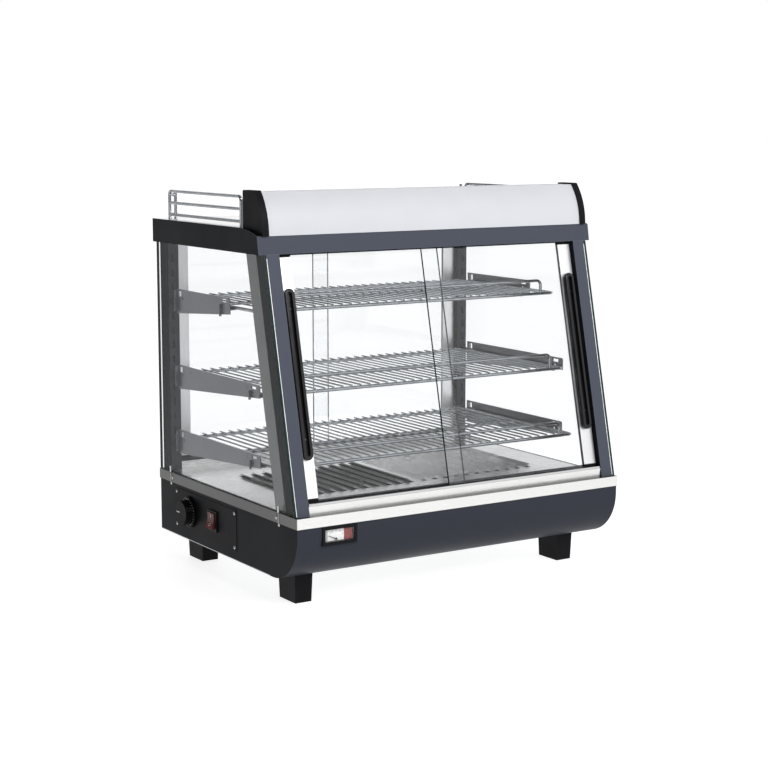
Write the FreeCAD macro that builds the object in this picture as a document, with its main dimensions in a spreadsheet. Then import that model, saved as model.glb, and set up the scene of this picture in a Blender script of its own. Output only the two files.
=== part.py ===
import FreeCAD, Part
import math
import os

import Sketcher

# Hot food display case: a heated counter cabinet with a slanted front, sliding glass doors front and
# rear, three wire shelves, a louvred floor over its heating elements and a lit hood.
# Millimetres.  +X is to the operator's right when facing the front, +Y is towards the back, +Z is up.
# The origin is the middle of the footprint, on the surface that the feet stand on.

DRIVING_DIMENSIONS = [
    # base cabinet
    ("foot_height", 50.5, "underside of the base above the counter"),
    ("base_half", 329.5, "half width of the painted base"),
    ("base_end", 253.4, "front and rear faces of the painted base, from the middle"),
    ("nose_radius", 82.0, "radius that turns the front fascia under the base"),
    ("panel_gauge", 1.2, "sheet thickness of the base panels"),
    ("bottom_front", -160.0, "front edge of the bottom plate"),
    # stainless trim band
    ("band_half", 331.5, "half width over the trim band"),
    ("band_end", 255.4, "half depth over the trim band"),
    ("band_low", 145.8, "lower edge of the trim band"),
    ("band_high", 163.3, "upper edge of the trim band"),
    ("band_flange", 13.5, "width of the trim band's top flange"),
    ("seam_front", -194.0, "joint between front and side trim"),
    ("seam_rear", 207.0, "joint between side and rear trim"),
    # posts and the slanted front
    ("post_near", 302.0, "inner side of the posts, from the middle"),
    ("post_far", 326.0, "outer side of the posts, from the middle"),
    ("post_wall", 1.2, "wall thickness of the posts"),
    ("slant_low", -246.0, "front face of the front posts at the trim band"),
    ("slant_high", -152.0, "front face of the front posts at the top frame"),
    ("post_depth", 34.0, "depth of the front posts, front to back"),
    ("rear_post_near", 305.0, "inner side of the rear posts, from the middle"),
    ("rear_post_front", 215.0, "front face of the rear posts"),
    ("rear_post_back", 245.5, "rear face of the rear posts"),
    ("glass_gauge", 5.0, "thickness of the side glass"),
    ("glass_rear", 250.5, "rear edge of the side glass"),
    ("strip_near", 36.0, "front edge of the side strip behind the post's front face"),
    ("strip_far", 70.0, "rear edge of the side strip behind the post's front face"),
    # top frame and roof
    ("frame_half", 340.0, "half width of the top frame"),
    ("frame_low", 580.2, "lower edge of the top frame"),
    ("frame_front_high", 609.5, "upper edge of the top frame's front"),
    ("roof_high", 621.5, "top of the roof plate and of the frame's sides"),
    ("frame_front", -151.5, "front of the top frame at its lower edge"),
    ("frame_front_top", -146.4, "front of the top frame at its upper edge"),
    ("frame_rear", 246.0, "rear of the top frame"),
    ("skirt_gauge", 1.5, "sheet thickness of the top frame"),
    # lit hood
    ("hood_rear", -83.0, "rear of the hood"),
    ("hood_front", -150.5, "front of the hood at its lower edge"),
    ("hood_low", 610.1, "lower edge of the hood"),
    ("hood_high", 683.0, "top of the hood"),
    ("hood_radius", 112.0, "radius of the hood's curved front"),
    ("hood_half", 331.5, "half width over the hood's end caps"),
    ("cap_width", 12.0, "thickness of a hood end cap"),
    # sliding doors
    ("door_edge", 299.0, "outer edge of each front door, from the middle"),
    ("rear_door_edge", 303.0, "outer edge of each rear door, from the middle"),
    ("door_lap", 19.0, "overlap of each door past the middle"),
    ("stile_width", 26.0, "width of a door's edge profile"),
    ("stile_depth", 6.5, "thickness of a door's edge profile"),
    ("pane_depth", 4.1, "thickness of a door's glass"),
    ("pane_inset", 1.2, "wall of the edge profile in front of the glass"),
    ("front_track", 9.0, "front face of the nearer front door behind the post's face"),
    ("track_step", 8.0, "distance between the two front door tracks"),
    ("rear_track", 224.5, "front face of the inner rear door"),
    ("rear_step", 9.0, "distance between the two rear door tracks"),
    ("track_play", 0.6, "clearance each side of the glass in its track"),
    ("grip_low", 247.5, "lower end of the front door grips"),
    ("grip_high", 523.0, "upper end of the front door grips"),
    ("grip_width", 20.0, "width of a grip"),
    ("grip_depth", 8.3, "how far a grip stands out"),
    # floor, sills and louvres
    ("deck_high", 164.5, "top of the floor pan"),
    ("deck_front", -211.5, "front edge of the floor pan"),
    ("sill_high", 178.3, "top of the stainless sills"),
    ("sill_front", -242.0, "front of the front sill"),
    ("sill_rear", -212.0, "rear of the front sill"),
    ("rear_sill_front", 219.5, "front of the rear sill"),
    ("rear_sill_back", 245.0, "rear of the rear sill"),
    ("track_high", 181.8, "top of the lower door tracks"),
    ("louvre_count", 11.0, "louvres in each group"),
    ("louvre_first", 14.0, "nearest louvre to the middle"),
    ("louvre_pitch", 22.8, "distance between louvres"),
    ("louvre_width", 11.0, "width of a louvre's slot"),
    ("louvre_rise", 5.5, "height of a louvre above the floor"),
    ("louvre_front", -110.0, "front end of the louvres"),
    ("louvre_rear", 105.0, "rear end of the louvres"),
    # shelves and their brackets
    ("shelf_half", 308.0, "side wires of a shelf, from the middle"),
    ("shelf_back", 190.0, "rear border wire of the shelves"),
    ("border_radius", 3.0, "radius of the shelf border wire"),
    ("wire_radius", 1.5, "radius of the shelf wires"),
    ("wire_pitch", 18.0, "distance between shelf wires"),
    ("lip_half", 280.0, "ends of the raised lip, from the middle"),
    ("bracket_near", 316.0, "inner face of the shelf brackets, from the middle"),
    ("bracket_gauge", 2.0, "sheet thickness of the shelf brackets"),
    ("bracket_rise", 16.5, "top of a bracket above the shelf's border wire"),
    ("bracket_root", 44.0, "height of a bracket at its rear end"),
    ("bracket_gap", 19.0, "space that the bracket's hooks bridge in front of the rear post"),
    # controls
    ("plate_front", -43.5, "front edge of the control plate"),
    ("plate_rear", 191.0, "rear edge of the control plate"),
    ("plate_low", 67.0, "lower edge of the control plate"),
    ("plate_high", 138.5, "upper edge of the control plate"),
    ("knob_rear", 133.0, "knob's axis, along the depth"),
    ("knob_high", 103.5, "knob's axis, above the counter"),
    ("knob_reach", 348.0, "outer face of the knob, from the middle"),
    ("rocker_rear", 42.0, "middle of the switch, along the depth"),
    ("rocker_high", 104.8, "middle of the switch, above the counter"),
    ("gauge_left", -284.0, "left edge of the thermometer's bezel"),
    ("gauge_width", 66.0, "width of the thermometer's bezel"),
    ("gauge_low", 113.0, "lower edge of the thermometer's bezel"),
    ("gauge_height", 31.5, "height of the thermometer's bezel"),
    # guard rails
    ("rail_side", 321.3, "guard rails, from the middle"),
    ("rail_radius", 2.8, "radius of the guard rail rods"),
    ("rail_front", -58.0, "front leg of a guard rail"),
    ("rail_rear", 213.0, "rear leg of a guard rail"),
    ("rail_high", 671.0, "top rod of a guard rail"),
]

# Shelves from the top down: height of the border wire, front border wire, lip height, bracket's
# front end and bracket's height there.
SHELVES = {
    "top": (481.0, -87.0, 24.0, -6.0, 28.0),
    "middle": (344.5, -118.0, 27.0, -109.0, 22.0),
    "bottom": (226.0, -148.0, 23.5, -109.0, 22.0),
}


class Dim:
    """A length that carries both its number and the sheet formula that gives it."""

    def __init__(self, value, formula):
        self.value = value
        self.formula = formula

    def __add__(self, other):
        return joined(self, other, "+", self.value + as_dim(other).value)

    def __radd__(self, other):
        return as_dim(other) + self

    def __sub__(self, other):
        return joined(self, other, "-", self.value - as_dim(other).value)

    def __rsub__(self, other):
        return as_dim(other) - self

    def __mul__(self, other):
        return joined(self, other, "*", self.value * as_dim(other).value)

    def __rmul__(self, other):
        return as_dim(other) * self

    def __truediv__(self, other):
        return joined(self, other, "/", self.value / as_dim(other).value)

    def __neg__(self):
        return Dim(-self.value, "(0 - " + self.formula + ")")


def as_dim(quantity):
    if isinstance(quantity, Dim):
        return quantity
    text = f"{abs(quantity):.6f}"
    return Dim(float(quantity), text if quantity >= 0 else f"(0 - {text})")


def joined(left, right, sign, value):
    return Dim(value, f"({left.formula} {sign} {as_dim(right).formula})")


class Sizes:
    """The driving dimensions by name, as Dim objects bound to the sheet's aliases."""

    def __init__(self, document):
        sheet = document.addObject("Spreadsheet::Sheet", "Dimensions")
        sheet.Label = "driving dimensions"
        for row, (alias, value, meaning) in enumerate(DRIVING_DIMENSIONS, start=1):
            sheet.set(f"A{row}", meaning)
            sheet.set(f"B{row}", str(value))
            sheet.setAlias(f"B{row}", alias)
            setattr(self, alias, Dim(value, f"Dimensions.{alias}"))


doc = FreeCAD.newDocument("display_case")
size = Sizes(doc)
doc.recompute()
parts = []


# ---------------------------------------------------------------- building blocks

def bind(thing, prop, dim):
    """Binds a property to the sheet."""
    thing.setExpression(prop, as_dim(dim).formula)


def keep(thing, label):
    """Marks a document object as a finished sub-part."""
    thing.Label = label
    parts.append(thing)
    return thing


def place(thing, x, y, z):
    bind(thing, "Placement.Base.x", x)
    bind(thing, "Placement.Base.y", y)
    bind(thing, "Placement.Base.z", z)


def block(x_range, y_range, z_range, name="block"):
    """A box between two values on each axis."""
    box = doc.addObject("Part::Box", name)
    bind(box, "Length", x_range[1] - x_range[0])
    bind(box, "Width", y_range[1] - y_range[0])
    bind(box, "Height", z_range[1] - z_range[0])
    place(box, x_range[0], y_range[0], z_range[0])
    return box


AXIS_TURN = {
    "X": FreeCAD.Rotation(FreeCAD.Vector(0, 1, 0), 90),
    "Y": FreeCAD.Rotation(FreeCAD.Vector(1, 0, 0), -90),
    "Z": FreeCAD.Rotation(),
}


def rod(axis, radius, length, base, name="rod"):
    """A cylinder that starts at base and runs along +axis."""
    cylinder = doc.addObject("Part::Cylinder", name)
    bind(cylinder, "Radius", radius)
    bind(cylinder, "Height", length)
    cylinder.Placement = FreeCAD.Placement(FreeCAD.Vector(), AXIS_TURN[axis])
    place(cylinder, *base)
    return cylinder


def fused(pieces, name="fused"):
    if len(pieces) == 1:
        return pieces[0]
    fusion = doc.addObject("Part::MultiFuse", name)
    fusion.Shapes = pieces
    return fusion


def trimmed(base, tools, name="trimmed"):
    """The base with every tool cut out of it."""
    cut = doc.addObject("Part::Cut", name)
    cut.Base = base
    cut.Tool = fused(tools, name + "_tools")
    return cut


PLANES = {"XY": "XY_Plane", "XZ": "XZ_Plane", "YZ": "YZ_Plane"}


def plane_of(body, plane):
    return next(f for f in body.Origin.OriginFeatures if f.Role == PLANES[plane])


def point_rules(geometry, end, u, v):
    """Constraints that fix a point of the sketch at sheet-driven coordinates."""
    pairs = (("DistanceX", as_dim(u)), ("DistanceY", as_dim(v)))
    return [(Sketcher.Constraint(kind, -1, 1, geometry, end, dim.value), dim)
            for kind, dim in pairs]


def apply_rules(sketch, rules):
    """Adds the constraints in one go and binds those that carry a dimension."""
    indices = sketch.addConstraint([constraint for constraint, _ in rules])
    for index, (_, dim) in zip(indices, rules):
        if dim is not None:
            sketch.setExpression(f"Constraints[{index}]", dim.formula)


def draw_path(sketch, path):
    """Draws a closed path.  A step is (u, v) for a line to that point, or (u, v, radius, turn) for an
    arc to it, which turns left when turn is 1 and right when it is -1."""
    previous = path[-1]
    ends = []
    rules = []
    for step in path:
        start = FreeCAD.Vector(as_dim(previous[0]).value, as_dim(previous[1]).value, 0)
        stop = FreeCAD.Vector(as_dim(step[0]).value, as_dim(step[1]).value, 0)
        if len(step) == 2:
            line = sketch.addGeometry(Part.LineSegment(start, stop), False)
            ends.append((line, 1, 2))
        else:
            radius, turn = as_dim(step[2]), step[3]
            chord = stop - start
            rise = math.sqrt(max(radius.value ** 2 - (chord.Length / 2) ** 2, 0.0))
            normal = FreeCAD.Vector(-chord.y, chord.x, 0).normalize()
            centre = (start + stop) * 0.5 + normal * (rise * turn)
            first, last = (start, stop) if turn > 0 else (stop, start)
            angles = [math.atan2(p.y - centre.y, p.x - centre.x) for p in (first, last)]
            circle = Part.Circle(centre, FreeCAD.Vector(0, 0, 1), radius.value)
            arc = sketch.addGeometry(Part.ArcOfCircle(circle, angles[0], angles[1]), False)
            rules.append((Sketcher.Constraint("Radius", arc, radius.value), radius))
            ends.append((arc, 1, 2) if turn > 0 else (arc, 2, 1))
        previous = step
    for index, step in enumerate(path):
        geometry, _, stop_end = ends[index]
        following, start_end, _ = ends[(index + 1) % len(path)]
        meet = Sketcher.Constraint("Coincident", geometry, stop_end, following, start_end)
        rules.append((meet, None))
        rules += point_rules(geometry, stop_end, step[0], step[1])
    apply_rules(sketch, rules)


def draw_circle(sketch, u, v, radius):
    radius = as_dim(radius)
    centre = FreeCAD.Vector(as_dim(u).value, as_dim(v).value, 0)
    circle = sketch.addGeometry(Part.Circle(centre, FreeCAD.Vector(0, 0, 1), radius.value), False)
    rules = [(Sketcher.Constraint("Radius", circle, radius.value), radius)]
    apply_rules(sketch, rules + point_rules(circle, 3, u, v))


def sketched(body, plane, offset, paths, circles):
    sketch = body.newObject("Sketcher::SketchObject", "profile")
    sketch.AttachmentSupport = [(plane_of(body, plane), "")]
    sketch.MapMode = "FlatFace"
    bind(sketch, "AttachmentOffset.Base.z", offset)
    for path in paths:
        draw_path(sketch, path)
    for circle in circles:
        draw_circle(sketch, *circle)
    return sketch


def prism(plane, low, high, paths, circles=(), name="prism"):
    """A body padded from a sketch, between two values on the axis that the plane faces.
    Sketch axes are (Y, Z) on YZ, (X, Z) on XZ and (X, Y) on XY."""
    body = doc.addObject("PartDesign::Body", name)
    # The XZ plane faces -Y, so its sketch lies at the far end and the pad runs back to the near one.
    offset = -as_dim(high) if plane == "XZ" else as_dim(low)
    sketch = sketched(body, plane, offset, paths, circles)
    pad = body.newObject("PartDesign::Pad", "pad")
    pad.Profile = sketch
    bind(pad, "Length", as_dim(high) - as_dim(low))
    return body


def turned(axis, path, base, name="turned"):
    """A body turned from a profile whose u runs along the axis and whose v is the radius."""
    body = doc.addObject("PartDesign::Body", name)
    sketch = sketched(body, "XZ", as_dim(0), [path], [])
    revolution = body.newObject("PartDesign::Revolution", "revolution")
    revolution.Profile = sketch
    revolution.ReferenceAxis = (sketch, ["H_Axis"])
    revolution.Angle = 360
    turn = FreeCAD.Rotation()
    if axis == "-X":
        turn = FreeCAD.Rotation(FreeCAD.Vector(0, 0, 1), 180)
    if axis == "Y":
        turn = FreeCAD.Rotation(FreeCAD.Vector(0, 0, 1), 90)
    if axis == "Z":
        turn = FreeCAD.Rotation(FreeCAD.Vector(0, 1, 0), -90)
    body.Placement = FreeCAD.Placement(FreeCAD.Vector(), turn)
    place(body, *base)
    return body


def shaped(shape, label, placement=None):
    """A sub-part whose shape is worked out below from the sheet's values."""
    feature = doc.addObject("Part::Feature", label)
    feature.Shape = shape
    feature.Placement = placement or FreeCAD.Placement()
    return keep(feature, label)


def vector(x, y, z):
    return FreeCAD.Vector(as_dim(x).value, as_dim(y).value, as_dim(z).value)


def bar(start, stop, radius):
    """A round bar between two points."""
    run = stop - start
    return Part.makeCylinder(radius, run.Length, start, run)


def bent_bar(points, radius, bend):
    """A round bar along straight runs, with a tangent arc of the bend radius at every corner."""
    edges = []
    start = points[0]
    for before, corner, after in zip(points, points[1:], points[2:]):
        into = (before - corner).normalize()
        out = (after - corner).normalize()
        half = into.getAngle(out) / 2
        tangent = bend / math.tan(half)
        middle = (into + out).normalize()
        centre = corner + middle * (bend / math.sin(half))
        first, last = corner + into * tangent, corner + out * tangent
        edges.append(Part.LineSegment(start, first).toShape())
        edges.append(Part.Arc(first, centre - middle * bend, last).toShape())
        start = last
    edges.append(Part.LineSegment(start, points[-1]).toShape())
    path = Part.Wire(edges)
    circle = Part.Circle(points[0], points[1] - points[0], radius).toShape()
    return path.makePipeShell([Part.Wire([circle])], True, False)


SIDES = {"left": -1, "right": 1}


def span(side, near, far):
    """The X range between two distances from the middle, on one side."""
    near, far = as_dim(near), as_dim(far)
    return (-far, -near) if side < 0 else (near, far)


def slanted(height, behind=0.0):
    """Y of a point at a height, that far behind the slanted plane of the front posts' faces."""
    rise = (as_dim(height) - size.band_high) / (size.frame_low - size.band_high)
    return size.slant_low + (size.slant_high - size.slant_low) * rise + behind


def slanted_path(low, high, near, far):
    """An upright slice of the slanted front: between two heights and two distances behind it."""
    return [(slanted(low, near), low), (slanted(low, far), low),
            (slanted(high, far), high), (slanted(high, near), high)]


def rectangle(u_range, v_range):
    return [(u_range[0], v_range[0]), (u_range[1], v_range[0]),
            (u_range[1], v_range[1]), (u_range[0], v_range[1])]


# ---------------------------------------------------------------- base cabinet

under = size.foot_height
gauge = size.panel_gauge
base_top = size.band_high - gauge
SCREW_HOLE = 2.1
SEAM_SCREW_HEIGHT = 155.0
SEAM_SCREW_SETBACK = 7.0
PLATE_SCREW_MARGIN = 6.0
PANEL_PLAY = 0.2
PLATE_SCREWS = [(y, z)
                for y in (size.plate_front + PLATE_SCREW_MARGIN, size.plate_rear - PLATE_SCREW_MARGIN)
                for z in (size.plate_low + PLATE_SCREW_MARGIN, size.plate_high - PLATE_SCREW_MARGIN)]
SEAM_SCREWS = [(size.seam_front + SEAM_SCREW_SETBACK, as_dim(SEAM_SCREW_HEIGHT)),
               (size.seam_rear - SEAM_SCREW_SETBACK, as_dim(SEAM_SCREW_HEIGHT))]


def side_panel(name):
    """A flat side whose front lower corner follows the inside of the rounded fascia."""
    inner_radius = size.nose_radius - gauge - PANEL_PLAY
    floor = under + gauge + PANEL_PLAY
    face = gauge - size.base_end + PANEL_PLAY
    side = SIDES[name]
    outline = [(size.base_end - gauge, floor),
               (size.base_end - gauge, base_top),
               (face, base_top),
               (face, floor + inner_radius),
               (face + inner_radius, floor, inner_radius, 1)]
    holes = [(y, z, SCREW_HOLE) for y, z in SEAM_SCREWS]
    openings = []
    if name == "left":
        holes += [(y, z, SCREW_HOLE) for y, z in PLATE_SCREWS]
        openings = [rectangle((size.plate_front + 16, size.plate_rear - 19),
                              (size.plate_low + 11, size.plate_high - 11))]
    low, high = span(side, size.base_half - gauge, size.base_half)
    return keep(prism("YZ", low, high, [outline] + openings, holes), f"side_panel_{name}")


def front_fascia():
    """Front sheet that drops straight from the trim and rolls under the base."""
    outer, inner = size.nose_radius, size.nose_radius - gauge
    face = -size.base_end
    outline = [(face, base_top),
               (face, under + outer),
               (face + outer, under, outer, 1),
               (size.bottom_front, under),
               (size.bottom_front, under + gauge),
               (face + outer, under + gauge),
               (face + gauge, under + outer, inner, -1),
               (face + gauge, base_top)]
    sheet = prism("YZ", -size.base_half, size.base_half, [outline])
    margin = 3.0
    opening = block((size.gauge_left + margin, size.gauge_left + size.gauge_width - margin),
                    (face - 1, face + 8),
                    (size.gauge_low + margin, size.gauge_low + size.gauge_height - margin))
    return keep(trimmed(sheet, [opening]), "front_fascia")


INLET_X = 250.0
INLET_Z = 96.0
INLET_RADIUS = 8.2
VENT_COLUMNS = 14
VENT_PITCH = 9.0
VENT_FIRST = -300.0
VENT_ROWS = (74.0, 86.0, 98.0)


def slot_cutters(label, origins, extent):
    """One box at each origin, as a single cutting tool."""
    tool = doc.addObject("Part::Feature", label)
    tool.Shape = Part.makeCompound([Part.makeBox(*extent, FreeCAD.Vector(*origin))
                                    for origin in origins])
    return tool


def rear_panel():
    """Rear sheet with a field of cooling slots and the hole of the cord gland."""
    outline = rectangle((-size.base_half, size.base_half), (under, base_top))
    hole = (as_dim(INLET_X), as_dim(INLET_Z), INLET_RADIUS)
    sheet = prism("XZ", size.base_end - gauge, size.base_end, [outline], [hole])
    corners = [(VENT_FIRST + column * VENT_PITCH, size.base_end.value - 3, row)
               for column in range(VENT_COLUMNS) for row in VENT_ROWS]
    return keep(trimmed(sheet, [slot_cutters("rear_vents", corners, (4.0, 5.0, 8.0))]),
                "rear_panel")


FOOT_X = 274.1
FOOT_Y = {"front": -147.5, "rear": 193.5}
FOOT_BOTTOM = (31.0, 53.0)
FOOT_TOP = (34.0, 57.0)
FOOT_SCREW_HOLE = 3.1
FOOT_RECESS = (8.0, 32.0)


def bottom_plate():
    outline = rectangle((-size.base_half, size.base_half),
                        (size.bottom_front, size.base_end - gauge))
    holes = [(as_dim(side * FOOT_X), as_dim(y), FOOT_SCREW_HOLE)
             for side in SIDES.values() for y in FOOT_Y.values()]
    sheet = prism("XY", under, under + gauge, [outline], holes)
    corners = [(x, y, under.value - 1) for x in range(-180, 181, 20) for y in (-90.0, 60.0)]
    return keep(trimmed(sheet, [slot_cutters("floor_vents", corners, (4.0, 60.0, 4.0))]),
                "bottom_plate")


def foot(side_name, end_name):
    """Moulded foot that tapers downwards, with a recess for its screw."""
    wedge = doc.addObject("Part::Wedge", "foot_block")
    half_bottom = [width / 2 for width in FOOT_BOTTOM]
    half_top = [width / 2 for width in FOOT_TOP]
    wedge.Xmin, wedge.Xmax = -half_bottom[0], half_bottom[0]
    wedge.Zmin, wedge.Zmax = -half_bottom[1], half_bottom[1]
    wedge.X2min, wedge.X2max = -half_top[0], half_top[0]
    wedge.Z2min, wedge.Z2max = -half_top[1], half_top[1]
    wedge.Ymin = 0
    bind(wedge, "Ymax", under)
    centre = (as_dim(SIDES[side_name] * FOOT_X), as_dim(FOOT_Y[end_name]), as_dim(0))
    wedge.Placement = FreeCAD.Placement(FreeCAD.Vector(),
                                        FreeCAD.Rotation(FreeCAD.Vector(1, 0, 0), 90))
    place(wedge, *centre)
    recess = rod("Z", FOOT_RECESS[0], FOOT_RECESS[1], (centre[0], centre[1], as_dim(0)))
    hole = rod("Z", FOOT_SCREW_HOLE, under, (centre[0], centre[1], as_dim(0)))
    return keep(trimmed(wedge, [recess, hole]), f"foot_{end_name}_{side_name}")


# ---------------------------------------------------------------- trim band

SEAM_GAP = 0.25


def trim_end(label, sign, seam):
    """Stainless wrap round one end of the base, up to its seams: a face, two returns and a flange."""
    face, skin = size.band_end * sign, size.base_end * sign
    wide, narrow = size.band_half, size.base_half
    inner = size.band_half - size.band_flange
    corner = 2.5
    shift = corner * sign
    turn = 1 if sign < 0 else -1
    wall = [(-wide, seam),
            (-wide, face - shift),
            (corner - wide, face, corner, turn),
            (wide - corner, face),
            (wide, face - shift, corner, turn),
            (wide, seam),
            (narrow, seam),
            (narrow, skin),
            (-narrow, skin),
            (-narrow, seam)]
    flange = [(-narrow, seam),
              (-narrow, skin),
              (narrow, skin),
              (narrow, seam),
              (inner, seam),
              (inner, skin - size.band_flange * sign),
              (-inner, skin - size.band_flange * sign),
              (-inner, seam)]
    wrap = prism("XY", size.band_low, size.band_high, [wall])
    top = prism("XY", base_top, size.band_high, [flange])
    return keep(fused([wrap, top]), label)


def trim_sides():
    """The two side strips between the wraps, each screwed on at both ends."""
    strips = []
    y_range = (size.seam_front + SEAM_GAP, size.seam_rear - SEAM_GAP)
    for side in SIDES.values():
        face = block(span(side, size.base_half, size.band_half), y_range,
                     (size.band_low, size.band_high))
        flange = block(span(side, size.band_half - size.band_flange, size.base_half), y_range,
                       (base_top, size.band_high))
        low, high = span(side, size.base_half - 1, size.band_half + 1)
        holes = [rod("X", SCREW_HOLE, high - low, (low, y, z)) for y, z in SEAM_SCREWS]
        strips.append(trimmed(fused([face, flange]), holes))
    pair = doc.addObject("Part::Compound", "trim_pair")
    pair.Links = strips
    return keep(pair, "trim_sides")


# ---------------------------------------------------------------- controls

BEZEL_HALF = (17.0, 18.0)
ROCKER_BODY_HALF = (13.5, 15.5)
ROCKER_CAVITY_HALF = (11.5, 14.9)
ROCKER_TILT = 9.0
ROCKER_PIVOT_DEPTH = 1.0
ROCKER_PIN_RADIUS = 1.5
PLATE_GAUGE = 1.0
plate_face = size.base_half + PLATE_GAUGE
SPINDLE_RADIUS = 3.0
BUSH_RADIUS = 5.0


def control_panel():
    outline = rectangle((size.plate_front, size.plate_rear), (size.plate_low, size.plate_high))
    switch = rectangle((size.rocker_rear - ROCKER_BODY_HALF[0] - 0.3,
                        size.rocker_rear + ROCKER_BODY_HALF[0] + 0.3),
                       (size.rocker_high - ROCKER_BODY_HALF[1] - 0.3,
                        size.rocker_high + ROCKER_BODY_HALF[1] + 0.3))
    holes = [(y, z, SCREW_HOLE) for y, z in PLATE_SCREWS]
    holes.append((size.knob_rear, size.knob_high, BUSH_RADIUS + 0.2))
    return keep(prism("YZ", -plate_face, -size.base_half, [outline, switch], holes),
                "control_panel")


def thermostat_body():
    """Boxed capillary thermostat behind the plate, with the bush that carries its spindle."""
    y, z = size.knob_rear, size.knob_high
    back, front = size.base_half - 30, size.base_half - 3.5
    case = block((-front, -back), (y - 17, y + 17), (z - 17, z + 17))
    bush = rod("X", BUSH_RADIUS, plate_face - front + 0.4, (-plate_face - 0.4, y, z))
    bore = rod("X", SPINDLE_RADIUS + 0.06, 30, (-plate_face - 5, y, z))
    bulb_stub = rod("X", 2.2, 8, (-back, y, z + 8))
    tabs = [block((-back, -back + 7), (y + shift, y + shift + 6), (z - 12, z - 11))
            for shift in (-12.0, 4.0)]
    return keep(trimmed(fused([case, bush, bulb_stub] + tabs), [bore]), "thermostat_body")


SPINDLE_INNER = 308.0


def thermostat_spindle():
    return keep(rod("X", SPINDLE_RADIUS, size.knob_reach - 5 - SPINDLE_INNER,
                    (-(size.knob_reach - 5), size.knob_rear, size.knob_high)),
                "thermostat_spindle")


def thermostat_knob():
    """Skirted knob with a conical grip and a flat face, bored for the spindle."""
    start = plate_face + 0.9
    reach = size.knob_reach - start
    bore = SPINDLE_RADIUS
    profile = [(as_dim(0), as_dim(bore)),
               (as_dim(0), as_dim(28.0)),
               (as_dim(2.4), as_dim(28.0)),
               (as_dim(4.2), as_dim(25.5)),
               (as_dim(4.6), as_dim(22.5)),
               (reach - 1.6, as_dim(20.6)),
               (reach, as_dim(19.0), 1.7, -1),
               (reach, as_dim(0)),
               (reach - 5, as_dim(0)),
               (reach - 5, as_dim(bore))]
    return keep(turned("-X", profile, (-start, size.knob_rear, size.knob_high)),
                "thermostat_knob")


def rocker_housing():
    """Switch case: a bezel outside the plate and a body behind it, open for the rocker."""
    y, z = size.rocker_rear, size.rocker_high
    bezel = block((-plate_face - 3, -plate_face),
                  (y - BEZEL_HALF[0], y + BEZEL_HALF[0]), (z - BEZEL_HALF[1], z + BEZEL_HALF[1]))
    case = block((-plate_face, -plate_face + 27),
                 (y - ROCKER_BODY_HALF[0], y + ROCKER_BODY_HALF[0]),
                 (z - ROCKER_BODY_HALF[1], z + ROCKER_BODY_HALF[1]))
    cavity = block((-plate_face - 4, -plate_face + 9),
                   (y - ROCKER_CAVITY_HALF[0], y + ROCKER_CAVITY_HALF[0]),
                   (z - ROCKER_CAVITY_HALF[1], z + ROCKER_CAVITY_HALF[1]))
    tabs = [block((-plate_face + 27, -plate_face + 35), (y - 3, y + 3), (z + shift, z + shift + 0.8))
            for shift in (-9.0, 9.0)]
    pin_half = ROCKER_CAVITY_HALF[0] + 0.5
    pin = rod("Y", ROCKER_PIN_RADIUS, 2 * pin_half,
              (-plate_face + ROCKER_PIVOT_DEPTH, y - pin_half, z))
    shell = trimmed(fused([bezel, case] + tabs), [cavity])
    return keep(fused([shell, pin]), "rocker_housing")


def rocker_paddle():
    """Translucent rocker, dished on its face, tilted to its off position at rest."""
    half_width = ROCKER_CAVITY_HALF[0] - 0.4
    half_height = 13.2
    reach = 8.5
    paddle = prism("XZ", as_dim(-half_width), as_dim(half_width),
                   [[(as_dim(2.5), as_dim(-half_height + 4)),
                     (as_dim(2.5), as_dim(half_height - 4)),
                     (as_dim(-1.0), as_dim(half_height)),
                     (as_dim(-reach), as_dim(half_height)),
                     (as_dim(-reach), as_dim(-half_height), 46.0, -1),
                     (as_dim(-1.0), as_dim(-half_height))]],
                   [(as_dim(0), as_dim(0), ROCKER_PIN_RADIUS + 0.06)])
    paddle.Placement = FreeCAD.Placement(FreeCAD.Vector(),
                                         FreeCAD.Rotation(FreeCAD.Vector(0, 1, 0), ROCKER_TILT))
    place(paddle, -plate_face + ROCKER_PIVOT_DEPTH, size.rocker_rear, size.rocker_high)
    return keep(paddle, "rocker_paddle")


GAUGE_WALL = 5.5
GAUGE_RECESS = 7.0
PIVOT_RISE = 3.2


def gauge_ranges(margin):
    """X and Z ranges of the thermometer, drawn in by a margin."""
    return ((size.gauge_left + margin, size.gauge_left + size.gauge_width - margin),
            (size.gauge_low + margin, size.gauge_low + size.gauge_height - margin))


def gauge_pivot():
    x_range, z_range = gauge_ranges(GAUGE_WALL)
    return (x_range[0] + x_range[1]) / 2 - 4, z_range[0] + PIVOT_RISE


BEZEL_DEPTH = 6.0
SEAT_PLAY = 0.05


def thermometer_case():
    """Bezel that snaps into the fascia and follows its curve, with the recess for dial and pointer."""
    face = -size.band_end
    outer_x, outer_z = gauge_ranges(0)
    body_x, body_z = gauge_ranges(3.3)
    window_x, window_z = gauge_ranges(GAUGE_WALL)
    skin = -size.base_end - SEAT_PLAY
    radius = size.nose_radius + SEAT_PLAY
    behind = prism("YZ", outer_x[0] - 1, outer_x[1] + 1,
                   [[(skin, base_top),
                     (skin, under + size.nose_radius),
                     (skin + radius, under - SEAT_PLAY, radius, 1),
                     (skin + radius, base_top)]])
    bezel = trimmed(block(outer_x, (face, face + BEZEL_DEPTH), outer_z), [behind])
    body = block(body_x, (face + 1, face + 20), body_z)
    recess = block(window_x, (face - 1, face + GAUGE_RECESS), window_z)
    shell = trimmed(fused([bezel, body]), [recess])
    pin_x, pin_z = gauge_pivot()
    pin = rod("Y", 0.8, 3, (pin_x, face + GAUGE_RECESS - 3, pin_z))
    return keep(fused([shell, pin]), "thermometer_case")


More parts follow.
